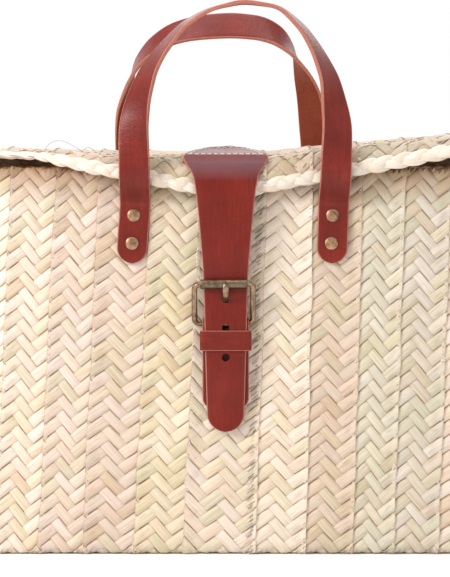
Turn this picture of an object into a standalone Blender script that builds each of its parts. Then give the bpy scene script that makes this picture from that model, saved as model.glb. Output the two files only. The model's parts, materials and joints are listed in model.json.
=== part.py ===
"""Woven palm-leaf market basket with a flap lid, two riveted leather handles and a leather strap closed by a roller buckle.

The front faces -Y, the width runs along X and the floor of the basket stands on z = 0. Lengths are in millimetres here and are turned into metres when a mesh is made.
"""

import math

import bmesh
import bpy
import numpy as np

MM = 0.001

# ---- woven body ----
HEIGHT = 278.0  # top of the woven wall
FLOOR_HALF_DEPTH = 75.0
MOUTH_HALF_DEPTH = 62.5
WEAVE = 4.0  # thickness of the plaited wall
FLOOR_ROUND = 18.0
CORNER_ROUND = 22.0
CENTRE_BAND_HALF = 25.5  # nine-strand centre plait
BAND = 34.3  # seven-strand plaits
BANDS_EACH_SIDE = 5
SEAM = 0.3
MOUTH_RIM_R = 4.0
HALF_BANDS = CENTRE_BAND_HALF + BANDS_EACH_SIDE * BAND
CORNER_X = HALF_BANDS + 0.5 * SEAM
HALF_WIDTH = CORNER_X + CORNER_ROUND
BETA = math.atan((FLOOR_HALF_DEPTH - MOUTH_HALF_DEPTH) / HEIGHT)  # lean of the walls

# ---- flap lid ----
FLAP_T = 4.0
FLAP_BACK_Y = 65.0
FLAP_BACK_Z = 289.6  # middle of the weave at the hinge edge
FLAP_BEND_Y = -60.0
FLAP_BEND_R = 12.5
FLAP_FRONT_Z = 289.5
FLAP_DOME = 3.45
FLAP_CORNER_X = 165.0
FLAP_HALF = 215.0
FLAP_CORNER_DEPTH = 60.0
FLAP_RIM_R = 5.0
FLAP_RIM_LOW = 270.0  # the rim's lowest point, in front of the mouth
FLAP_RIM_CLIMB = 27.0
RIM_GAP = 1.6
RISE_RIGHT = 14.5  # how far the springy weave curls up at each front corner
RISE_LEFT = 3.5
HINGE_Y, HINGE_Z = 66.5, 287.2
HEM_Y, HEM_T, HEM_LOW, HEM_TOP = 64.9, 3.5, 266.0, 286.0

# ---- handles ----
STRAP_HALF = 11.3
STRAP_T = 3.0
HANDLE_PIVOT_Z = 256.0
FLEX_GAP = 2.5  # left free each side of a flexing line
END_LOW = 214.0
FRONT_LEGS = (-68.6, 76.6)
REAR_LEGS = (-78.2, 68.8)
RIVET_Z = (228.5, 249.0)
RIVET_CAP_R = 4.75
RIVET_POST_R = 2.2
RIVET_HOLE_R = 2.6
PATCH_T = 2.0

# ---- closure ----
CLOSE_X = -2.4
TAIL_T = 2.8
TAIL_N = 10.4  # middle of the tail, outside the wall, where it passes the buckle
TAIL_TIP_Z = 91.0
TAB_PIVOT_Z = 277.0
TAB_PIVOT_Y = -76.6
TAB_GAP = 0.7
HOLE_R = 3.1
HOLES_Z = (188.0, 168.0, 146.5)
HEEL_N, HEEL_Z, HEEL_R = 4.5, 170.0, 1.7
ROLLER_N, ROLLER_Z, ROLLER_R, ROLLER_HALF = 15.6, 199.0, 3.5, 17.0
ROLLER_BORE = 2.25
TOP_BAR_R = 1.9
SIDE_BAR_R = 2.1
FRAME_HALF = 21.35
FRAME_CORNER = 4.0
BUCKLE_STRAP_T = 2.2
BUCKLE_STRAP_HALF = 17.0
BUCKLE_STRAP_LOW = 109.5
FOLD_INNER = 2.0
KEEPER_LOW, KEEPER_TOP, KEEPER_T = 150.5, 164.3, 1.5
PRONG_HALF = 2.1
PRONG_T = 1.8


# ---------------------------------------------------------------- materials
def material(name, colour, roughness, metallic=0.0):
    made = bpy.data.materials.new(name)
    made.use_nodes = True
    shader = made.node_tree.nodes["Principled BSDF"]
    shader.inputs["Base Color"].default_value = (*colour, 1.0)
    shader.inputs["Roughness"].default_value = roughness
    shader.inputs["Metallic"].default_value = metallic
    made.diffuse_color = (*colour, 1.0)
    return made


# ---------------------------------------------------------------- meshes
def clear():
    for thing in list(bpy.data.objects):
        bpy.data.objects.remove(thing, do_unlink=True)


def unit(v):
    return v / np.linalg.norm(v)


def add(name, points, faces, mat, pivot=None, smooth=False):
    """One named object. With a pivot, its mesh is held about the empty that stands on its joint's axis."""
    origin = np.array(pivot.location) / MM if pivot else np.zeros(3)
    mesh = bpy.data.meshes.new(name)
    mesh.from_pydata(
        [tuple((np.asarray(p, float) - origin) * MM) for p in points], [], faces
    )
    work = bmesh.new()
    work.from_mesh(mesh)
    bmesh.ops.recalc_face_normals(work, faces=work.faces)
    work.to_mesh(mesh)
    work.free()
    mesh.materials.append(mat)
    if smooth:
        for face in mesh.polygons:
            face.use_smooth = True
    thing = bpy.data.objects.new(name, mesh)
    bpy.context.scene.collection.objects.link(thing)
    if pivot:
        thing.parent = pivot
    return thing


def pivot_at(name, point):
    empty = bpy.data.objects.new(name, None)
    empty.empty_display_size = 0.02
    empty.location = [c * MM for c in point]
    bpy.context.scene.collection.objects.link(empty)
    return empty


def sweep(sections, closed=False):
    """Points and faces through equal loops of points; the ends are capped unless the sweep closes on itself."""
    count = len(sections[0])
    points = [p for section in sections for p in section]
    faces = []
    rings = len(sections)
    for i in range(rings if closed else rings - 1):
        a, b = i * count, ((i + 1) % rings) * count
        for k in range(count):
            m = (k + 1) % count
            faces.append((a + k, a + m, b + m, b + k))
    if not closed:
        faces.append(tuple(range(count)))
        faces.append(tuple((rings - 1) * count + k for k in range(count)))
    return points, faces


def ribbon(centres, across, normals, halves, thickness):
    """Sections of a strap: `across` runs over its width and `normals` through its thickness."""
    sections = []
    for c, w, n, half in zip(centres, across, normals, halves):
        side, up = np.asarray(w) * half, np.asarray(n) * 0.5 * thickness
        c = np.asarray(c)
        sections.append([c - side - up, c + side - up, c + side + up, c - side + up])
    return sections


def tangents(path, closed=False):
    path = np.asarray(path, float)
    if closed:
        return [
            unit(path[(i + 1) % len(path)] - path[i - 1]) for i in range(len(path))
        ]
    ends = np.gradient(path, axis=0)
    return [unit(t) for t in ends]


def tube(path, radius, sides=8, closed=False, up=(0.0, 0.0, 1.0)):
    sections = []
    radii = radius if hasattr(radius, "__len__") else [radius] * len(path)
    for c, t, r in zip(path, tangents(path, closed), radii):
        first = np.cross(t, up)
        if np.linalg.norm(first) < 1e-6:
            first = np.cross(t, (1.0, 0.0, 0.0))
        first = unit(first)
        second = np.cross(t, first)
        sections.append(
            [
                np.asarray(c)
                + r
                * (
                    math.cos(2 * math.pi * (k + 0.5) / sides) * first
                    + math.sin(2 * math.pi * (k + 0.5) / sides) * second
                )
                for k in range(sides)
            ]
        )
    return sweep(sections, closed)


def cut(thing, cutters):
    for cutter in cutters:
        modifier = thing.modifiers.new("cut_" + cutter.name, "BOOLEAN")
        modifier.operation = "DIFFERENCE"
        modifier.solver = "EXACT"
        modifier.object = cutter


def helper(name, points, faces, mat):
    thing = add(name, points, faces, mat)
    thing.hide_render = True
    thing.display_type = "WIRE"
    return thing


# ---------------------------------------------------------------- the walls
def half_depth(z):
    return FLOOR_HALF_DEPTH - math.tan(BETA) * z


def on_wall(x, n, z, side=-1):
    """A point n outside the front wall (side -1) or the back wall (side 1), at height z on the wall."""
    return np.array(
        [
            x,
            side * (half_depth(z) + n * math.cos(BETA)),
            z + n * math.sin(BETA),
        ]
    )


def wall_profile(depth, segments=6):
    """(inward distance, height) down the wall and round the floor's edge, for the face `depth` inside the outer one."""
    points = [(depth, HEIGHT), (depth, 0.5 * HEIGHT)]
    for k in range(segments + 1):
        a = 0.5 * math.pi * k / segments
        r = FLOOR_ROUND - depth
        points.append((FLOOR_ROUND - r * math.cos(a), FLOOR_ROUND - r * math.sin(a)))
    return points


def band_edges():
    """The outer edges of the eleven plaits, left to right."""
    half = [CENTRE_BAND_HALF + BAND * k for k in range(BANDS_EACH_SIDE + 1)]
    return [-h for h in reversed(half)] + half


def u_band(x0, x1):
    profile = wall_profile(0.5 * WEAVE)
    front = [(-(half_depth(z) - d), z) for d, z in profile]
    path = front + [(-y, z) for y, z in reversed(front)]
    centres = [np.array([0.5 * (x0 + x1), y, z]) for y, z in path]
    lines = tangents(centres)
    lines[0] = unit(centres[1] - centres[0])
    lines[-1] = unit(centres[-1] - centres[-2])
    across = [np.array([1.0, 0.0, 0.0])] * len(path)
    normals = [np.cross(across[0], t) for t in lines]
    half = 0.5 * (x1 - x0 - SEAM)
    return sweep(ribbon(centres, across, normals, [half] * len(path), WEAVE))


def side_panel(sign):
    """The plaits that turn round both upright corners and the side, with a lip under the floor's edge."""
    outer, inner = wall_profile(0.0), wall_profile(WEAVE)
    lip = CORNER_ROUND - 0.3
    turns = 5
    stations = [("front", -0.5 * math.pi + 0.5 * math.pi * k / turns) for k in range(turns + 1)]
    stations += [("side", f) for f in (0.03, 0.5, 0.97)]
    stations += [("back", 0.5 * math.pi * k / turns) for k in range(turns + 1)]

    def place(station, d, z):
        kind, value = station
        y = half_depth(z) - CORNER_ROUND
        if kind == "side":
            return np.array([sign * (HALF_WIDTH - d), -y + 2 * y * value, z])
        r = max(CORNER_ROUND - d, 0.0)
        return np.array(
            [
                sign * (CORNER_X + r * math.cos(value)),
                (-y if kind == "front" else y) + r * math.sin(value),
                z,
            ]
        )

    sections = []
    for station in stations:
        reach = lip if station[0] == "side" else CORNER_ROUND - 2.0
        loop = [place(station, d, z) for d, z in outer]
        loop.append(place(station, reach, 0.0))
        loop.append(place(station, reach, WEAVE))
        loop += [place(station, d, z) for d, z in reversed(inner)]
        sections.append(loop)
    return sweep(sections)


def mouth_rim():
    z = HEIGHT + 0.3 + MOUTH_RIM_R
    r = CORNER_ROUND - 0.5 * WEAVE
    y = half_depth(HEIGHT) - CORNER_ROUND
    path = []
    for cx, cy, start in (
        (CORNER_X, -y, -90),
        (CORNER_X, y, 0),
        (-CORNER_X, y, 90),
        (-CORNER_X, -y, 180),
    ):
        for k in range(6):
            a = math.radians(start + 90 * k / 5)
            path.append(np.array([cx + r * math.cos(a), cy + r * math.sin(a), z]))
    return tube(path, MOUTH_RIM_R, 8, closed=True)


# ---------------------------------------------------------------- the flap
def rise(x):
    """How far the weave stands above its centre line, at x."""
    if x > 31:
        return RISE_RIGHT * min((x - 31) / 131, 1.1) ** 0.8
    if x < -30:
        return RISE_LEFT * min((-x - 30) / 135, 1.1) ** 1.5
    return 0.0


def flap_point(x, s):
    """The middle of the flap's weave and its upward normal, s along from the hinge edge."""
    top = FLAP_BACK_Y - FLAP_BEND_Y
    front = FLAP_FRONT_Z + rise(x)
    bulge = FLAP_DOME + 0.25 * rise(x)
    quarter = 0.5 * math.pi * FLAP_BEND_R
    if s <= top:
        t = s / top
        z = FLAP_BACK_Z + (front - FLAP_BACK_Z) * t + 4 * bulge * t * (1 - t)
        slope = (front - FLAP_BACK_Z + 4 * bulge * (1 - 2 * t)) / top
        return np.array([x, FLAP_BACK_Y - s, z]), unit(np.array([0.0, slope, 1.0]))
    centre = front - FLAP_BEND_R
    a = (s - top) / FLAP_BEND_R
    if s <= top + quarter:
        n = np.array([0.0, -math.sin(a), math.cos(a)])
        return np.array([x, FLAP_BEND_Y, centre]) + FLAP_BEND_R * n, n
    return np.array(
        [x, FLAP_BEND_Y - FLAP_BEND_R, centre - (s - top - quarter)]
    ), np.array([0.0, -1.0, 0.0])


def rim_reach(x):
    """s at which the middle of the flap's rim runs, between the front corners."""
    top = FLAP_BACK_Y - FLAP_BEND_Y
    quarter = 0.5 * math.pi * FLAP_BEND_R
    z = FLAP_RIM_LOW + FLAP_RIM_CLIMB * max(abs(x) - 20, 0) / 145
    centre = FLAP_FRONT_Z + rise(x) - FLAP_BEND_R
    if z <= centre:
        return top + quarter + centre - z
    return top + FLAP_BEND_R * math.acos(min((z - centre) / FLAP_BEND_R, 1.0))


def weave_reach(x):
    """s at which the flap's weave stops, behind its rim."""
    inset = FLAP_RIM_R + RIM_GAP
    if abs(x) <= FLAP_CORNER_X:
        return rim_reach(x) - inset
    part = min((abs(x) - FLAP_CORNER_X) / (FLAP_HALF - inset - FLAP_CORNER_X), 1.0)
    edge = rim_reach(math.copysign(FLAP_CORNER_X, x)) - inset
    return edge - (FLAP_CORNER_DEPTH - inset) * (1 - math.sqrt(1 - part * part))


def flap_band(x0, x1, columns, rows=12):
    columns = [x0 + 0.5 * SEAM + (x1 - x0 - SEAM) * f for f in columns]
    sections = []
    for k in range(rows + 1):
        top, under = [], []
        for x in columns:
            point, normal = flap_point(x, weave_reach(x) * k / rows)
            top.append(point + 0.5 * FLAP_T * normal)
            under.append(point - 0.5 * FLAP_T * normal)
        sections.append(top + under[::-1])
    return sweep(sections)


def flap_rim():
    path = []

    def put(x, s):
        point, _ = flap_point(x, s)
        if abs(x) > FLAP_CORNER_X + 30:
            point[2] = max(point[2], HEIGHT + 0.3 + 2 * MOUTH_RIM_R + FLAP_RIM_R + 0.7)
        path.append(point)

    left = rim_reach(-FLAP_CORNER_X)
    right = rim_reach(FLAP_CORNER_X)
    for s in np.linspace(9.0, left - FLAP_CORNER_DEPTH, 4):
        put(-FLAP_HALF, s)
    for k in range(1, 7):
        a = math.radians(90 - 15 * k)
        put(
            -FLAP_CORNER_X - (FLAP_HALF - FLAP_CORNER_X) * math.sin(a),
            left - FLAP_CORNER_DEPTH * (1 - math.cos(a)),
        )
    for x in np.linspace(-FLAP_CORNER_X, FLAP_CORNER_X, 25)[1:-1]:
        put(x, rim_reach(x))
    for k in range(0, 6):
        a = math.radians(15 * k)
        put(
            FLAP_CORNER_X + (FLAP_HALF - FLAP_CORNER_X) * math.sin(a),
            right - FLAP_CORNER_DEPTH * (1 - math.cos(a)),
        )
    for s in np.linspace(right - FLAP_CORNER_DEPTH, 9.0, 4):
        put(FLAP_HALF, s)
    return tube(path, FLAP_RIM_R, 8)


# ---------------------------------------------------------------- the handles
# (x, z, turn of the strap in degrees) from the left rivets over the top to the right ones
FRONT_LINE = (
    (-68.6, 258.5, 0), (-68.6, 277, 0), (-69.1, 315, 22), (-65.5, 334, 42),
    (-58, 355, 60), (-49.6, 368, 70), (-33, 387, 80), (-15, 398, 86),
    (10, 404, 90), (37, 400, 86), (54, 384, 78), (64, 368, 70),
    (73, 348, 55), (78.5, 315, 22), (77.5, 277, 0), (76.6, 258.5, 0),
)
REAR_LINE = (
    (-78.2, 258.5, 0), (-78.2, 300, 0), (-80, 328, 30), (-78, 355, 75),
    (-72, 367, 90), (-59, 379, 115), (-45, 386, 132), (-31, 390, 142),
    (-15, 392, 148), (3, 393, 150), (25, 391, 146), (39, 385, 130),
    (51, 372, 100), (58, 354, 62), (63, 340, 40), (65, 328, 30),
    (68.3, 300, 5), (68.8, 258.5, 0),
)
FRONT_STANCE = ((258.5, -65.6), (263, -69.3), (268, -74.5), (273, -79), (280, -81.3), (290, -81.8), (330, -81.5), (404, -80))
REAR_STANCE = ((258.5, 65.7), (262.5, 68.8), (267, 72.3), (275, 73.8), (300, 74), (330, 73), (360, 70), (380, 67), (393, 65))


def handle_line(line, stance, samples):
    """Smoothed centres and turns along a handle."""
    line = np.array(line, float)
    run = np.concatenate([[0], np.cumsum(np.hypot(*np.diff(line[:, :2], axis=0).T))])
    fine = np.linspace(0, run[-1], 401)
    data = np.stack([np.interp(fine, run, line[:, k]) for k in range(3)], axis=1)
    for _ in range(60):
        data[1:-1] = 0.25 * data[:-2] + 0.5 * data[1:-1] + 0.25 * data[2:]
    y = np.interp(data[:, 1], [p[0] for p in stance], [p[1] for p in stance])
    for _ in range(6):
        y[1:-1] = 0.25 * y[:-2] + 0.5 * y[1:-1] + 0.25 * y[2:]
    # closer together where the strap leaves the wall
    low = run[-1] * 0.05
    stops = np.concatenate(
        [
            np.linspace(0, low, 5)[:-1],
            np.linspace(low, run[-1] - low, samples),
            np.linspace(run[-1] - low, run[-1], 5)[1:],
        ]
    )
    pick = lambda values: np.interp(stops, fine, values)
    centres = np.stack([pick(data[:, 0]), pick(y), pick(data[:, 1])], axis=1)
    return centres, np.radians(pick(data[:, 2]))


def handle_loop(line, stance, facing, samples=34):
    centres, turns = handle_line(line, stance, samples)
    middle = centres.mean(axis=0)
    across, normals = [], []
    for c, t, turn in zip(centres, tangents(centres), turns):
        face = unit(np.array([0.0, facing, 0.0]) - facing * t[1] * t)
        out = np.cross(t, face)
        if np.dot(out, c - middle) < 0:
            out = -out
        n = math.cos(turn) * face + math.sin(turn) * out
        normals.append(n)
        across.append(np.cross(t, n))
    return sweep(
        ribbon(centres, across, normals, [STRAP_HALF] * len(centres), STRAP_T)
    )


def wall_plate(x, side, low, high, half, near, far, round_low=True, round_high=False):
    """A flat leather piece against a wall, between near and far from its outer face, with rounded ends."""
    stops = []
    steps = 6
    for k in range(steps + 1):
        a = 0.5 * math.pi * k / steps
        if round_low:
            stops.append((low + half * (1 - math.cos(a)), half * math.sin(a)))
    if not round_low:
        stops.append((low, half))
    if round_high:
        for k in range(steps + 1):
            a = 0.5 * math.pi * k / steps
            stops.append((high - half * (1 - math.sin(a)), half * math.cos(a)))
    else:
        stops.append((high, half))
    sections = []
    for z, h in stops:
        h = max(h, 0.6)
        sections.append(
            [
                on_wall(x - h, near, z, side),
                on_wall(x + h, near, z, side),
                on_wall(x + h, far, z, side),
                on_wall(x - h, far, z, side),
            ]
        )
    return sweep(sections)


def lathe(x, z, side, profile, steps=12):
    """A round piece whose axis stands out of the wall; profile holds (radius, distance outside the wall)."""
    points, faces = [], []
    first, last = profile[0], profile[-1]
    rings = profile[1:-1]
    points.append(on_wall(x, first[1], z, side))
    for r, n in rings:
        for k in range(steps):
            a = 2 * math.pi * (k + 0.5) / steps
            points.append(
                on_wall(x, n, z, side)
                + r
                * np.array(
                    [
                        math.cos(a),
                        -side * math.sin(a) * math.sin(BETA),
                        math.sin(a) * math.cos(BETA),
                    ]
                )
            )
    points.append(on_wall(x, last[1], z, side))
    end = len(points) - 1
    for k in range(steps):
        m = (k + 1) % steps
        faces.append((0, 1 + m, 1 + k))
        for i in range(len(rings) - 1):
            a, b = 1 + i * steps, 1 + (i + 1) * steps
            faces.append((a + k, a + m, b + m, b + k))
        last_ring = 1 + (len(rings) - 1) * steps
        faces.append((last_ring + k, last_ring + m, end))
    return points, faces


def rivet_profile(strap_face, patch_face):
    """A set rivet: inner cap, post and domed outer cap in one."""
    out = strap_face + 0.3
    back = patch_face - 0.3
    return (
        (0.0, back - 1.3),
        (RIVET_CAP_R - 0.8, back - 1.3),
        (RIVET_CAP_R, back - 0.7),
        (RIVET_CAP_R, back),
        (RIVET_POST_R, back),
        (RIVET_POST_R, out),
        (RIVET_CAP_R, out),
        (RIVET_CAP_R, out + 0.5),
        (RIVET_CAP_R - 1.3, out + 1.3),
        (0.0, out + 1.6),
    )


# ---------------------------------------------------------------- the closure
def flat_strap(stops, thickness):
    """A strap that bends about X only. stops hold (y, z, half width); the first face is the one seen from the front."""
    centres = [np.array([CLOSE_X, y, z]) for y, z, _ in stops]
    lines = tangents(centres)
    lines[0] = unit(centres[1] - centres[0])
    lines[-1] = unit(centres[-1] - centres[-2])
    across = [np.array([1.0, 0.0, 0.0])] * len(stops)
    normals = [np.cross(across[0], t) for t in lines]
    return sweep(ribbon(centres, across, normals, [s[2] for s in stops], thickness))


def tab_half(z_or_back):
    """Half width of the sewn tab, by how far along it is: 0 at its arched end, 1 at the flexing line."""
    f = z_or_back
    if f < 0.42:
        return 31.0 * math.sqrt(max(1 - ((0.42 - f) / 0.42) ** 2, 0.02))
    g = (f - 0.42) / 0.58
    return 31.0 - 8.0 * (1 - max(1 - g, 0.0) ** 1.6)


def tab_stops():
    top = FLAP_BACK_Y - FLAP_BEND_Y
    lift = 0.5 * FLAP_T + TAB_GAP + 0.5 * TAIL_T
    start = top - 24.0
    turn = 0.5 * math.pi - FLEX_GAP / (FLAP_BEND_R + lift)
    end = top + FLAP_BEND_R * turn
    stops = []
    for f in (0, 0.03, 0.08, 0.15, 0.25, 0.35, 0.42, 0.5, 0.6, 0.7, 0.8, 0.9, 1.0):
        point, normal = flap_point(0.0, start + (end - start) * f)
        spot = point + lift * normal
        stops.append((spot[1], spot[2], tab_half(f)))
    return stops


def tail_half(z):
    """Half width of the tail: it narrows to the buckle and then a little more to its tip."""
    if z > 199:
        return 16.0 + 6.6 * ((z - 199) / 77.0) ** 1.15
    return 16.0 - 1.7 * (199 - z) / 108.0


def tail_centre(z):
    """y of the middle of the tail, hanging over the rim, through the buckle and the keeper."""
    wall = -half_depth(z)
    if z > 199:
        free = ((199, wall - TAIL_N), (225, -78.4), (250, -79.4), (265, -79.7), (270, -79.5), (273, -78.8), (275, -77.7), (277, -76.6))
        return float(np.interp(z, [p[0] for p in free], [p[1] for p in free]))
    if z > 148:
        return wall - TAIL_N * math.cos(BETA)
    f = min((148 - z) / 50.0, 1.0)
    return wall - (TAIL_N - 5.0 * f * f * (3 - 2 * f))


def tail_stops():
    stops = []
    for z in (274.5, 273, 270, 265, 255, 240, 225, 210, 199, 185, 165, 148, 138, 128, 118, 110):
        stops.append((tail_centre(z), z, tail_half(z)))
    for k in range(1, 7):
        a = 0.5 * math.pi * k / 6
        z = TAIL_TIP_Z + 13.0 * (1 - math.sin(a))
        stops.append((tail_centre(z), z, max(tail_half(z) * math.cos(a), 1.2)))
    return stops


def buckle_strap_stops():
    """Up the wall, over the heel bar and down again to the keeper."""
    layer = 0.3 + 0.5 * BUCKLE_STRAP_T
    radius = FOLD_INNER + 0.5 * BUCKLE_STRAP_T
    stops = []
    for k in range(6):
        a = 0.5 * math.pi * k / 5
        stops.append((layer, BUCKLE_STRAP_LOW + 12 * (1 - math.cos(a)), max(BUCKLE_STRAP_HALF * math.sin(a), 3.0)))
    stops.append((layer, HEEL_Z - 4, BUCKLE_STRAP_HALF))
    for k in range(9):
        a = math.pi * k / 8
        stops.append((HEEL_N - radius * math.cos(a), HEEL_Z + radius * math.sin(a), BUCKLE_STRAP_HALF))
    stops.append((HEEL_N + radius, HEEL_Z - 4, BUCKLE_STRAP_HALF))
    stops.append((HEEL_N + radius, KEEPER_LOW - 2, BUCKLE_STRAP_HALF))
    out = []
    for n, z, half in stops:
        spot = on_wall(0, n, z)
        out.append((spot[1], spot[2], half))
    return out


def ring_round_strap(inner_half, inner_near, inner_far, thickness, low, high):
    """The keeper: a leather loop round the buckle strap's front layer and the tail."""
    def outline(half, near, far, corner):
        points = []
        for cx, cn, start in (
            (half - corner, near + corner, -90),
            (half - corner, far - corner, 0),
            (-half + corner, far - corner, 90),
            (-half + corner, near + corner, 180),
        ):
            for k in range(4):
                a = math.radians(start + 30 * k)
                points.append((cx + corner * math.cos(a), cn + corner * math.sin(a)))
        return points

    inner = outline(inner_half, inner_near, inner_far, 0.8)
    outer = outline(
        inner_half + thickness, inner_near - thickness, inner_far + thickness, 0.8 + thickness
    )
    sections = []
    for (xi, ni), (xo, no) in zip(inner, outer):
        sections.append(
            [
                on_wall(CLOSE_X + xi, ni, low),
                on_wall(CLOSE_X + xo, no, low),
                on_wall(CLOSE_X + xo, no, high),
                on_wall(CLOSE_X + xi, ni, high),
            ]
        )
    return sweep(sections, closed=True)


def frame_path():
    """The buckle's wire: heel bar behind, roller bar in front, with the radius at each point."""
    heel, front = on_wall(0, HEEL_N, HEEL_Z), on_wall(0, ROLLER_N, ROLLER_Z)
    along = front - heel
    length = np.linalg.norm(along)
    along = along / length
    path, radii = [], []
    corners = (
        (FRAME_HALF - FRAME_CORNER, FRAME_CORNER, -90, HEEL_R, SIDE_BAR_R),
        (FRAME_HALF - FRAME_CORNER, length - FRAME_CORNER, 0, SIDE_BAR_R, TOP_BAR_R),
        (-FRAME_HALF + FRAME_CORNER, length - FRAME_CORNER, 90, TOP_BAR_R, SIDE_BAR_R),
        (-FRAME_HALF + FRAME_CORNER, FRAME_CORNER, 180, SIDE_BAR_R, HEEL_R),
    )
    for cx, cu, start, r0, r1 in corners:
        for k in range(6):
            a = math.radians(start + 18 * k)
            x, u = cx + FRAME_CORNER * math.cos(a), cu + FRAME_CORNER * math.sin(a)
            spot = heel + along * u
            path.append(np.array([CLOSE_X + x, spot[1], spot[2]]))
            radii.append(r0 + (r1 - r0) * k / 5)
    return path, radii, np.cross((1.0, 0.0, 0.0), along)


def roller():
    centre = on_wall(0, ROLLER_N, ROLLER_Z)
    steps = 20
    sections = []
    for k in range(steps):
        a = 2 * math.pi * k / steps
        way = np.array([0.0, math.cos(a), math.sin(a)])
        x = np.array([1.0, 0.0, 0.0])
        mid = np.array([CLOSE_X, centre[1], centre[2]])
        sections.append(
            [
                mid + ROLLER_BORE * way - ROLLER_HALF * x,
                mid + ROLLER_R * way - ROLLER_HALF * x,
                mid + ROLLER_R * way + ROLLER_HALF * x,
                mid + ROLLER_BORE * way + ROLLER_HALF * x,
            ]
        )
    return sweep(sections, closed=True)


PRONG_LINE = (
    (6.4, 172.6), (7.4, 176.0), (7.5, 181.0), (7.4, 184.6), (8.2, 186.6),
    (10.4, 187.7), (13.0, 188.9), (16.2, 190.4), (18.6, 192.4), (19.7, 194.8),
    (19.8, 197.0),
)


def prong_shank():
    centres = [on_wall(CLOSE_X, n, z) for n, z in PRONG_LINE]
    lines = tangents(centres)
    across = [np.array([1.0, 0.0, 0.0])] * len(centres)
    normals = [np.cross(across[0], t) for t in lines]
    halves = [PRONG_HALF] * (len(centres) - 2) + [PRONG_HALF - 0.2, PRONG_HALF - 0.9]
    return sweep(ribbon(centres, across, normals, halves, PRONG_T))


def disc(centre, radius, half, steps=20):
    sections = []
    for x in (-half, half):
        sections.append(
            [
                np.array([CLOSE_X + x, centre[1] + radius * math.cos(2 * math.pi * k / steps), centre[2] + radius * math.sin(2 * math.pi * k / steps)])
                for k in range(steps)
            ]
        )
    return sweep(sections)


def post(x, z, near, far, radius, side=-1, steps=14):
    return lathe(x, z, side, ((0.0, near), (radius, near), (radius, far), (0.0, far)), steps)


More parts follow.
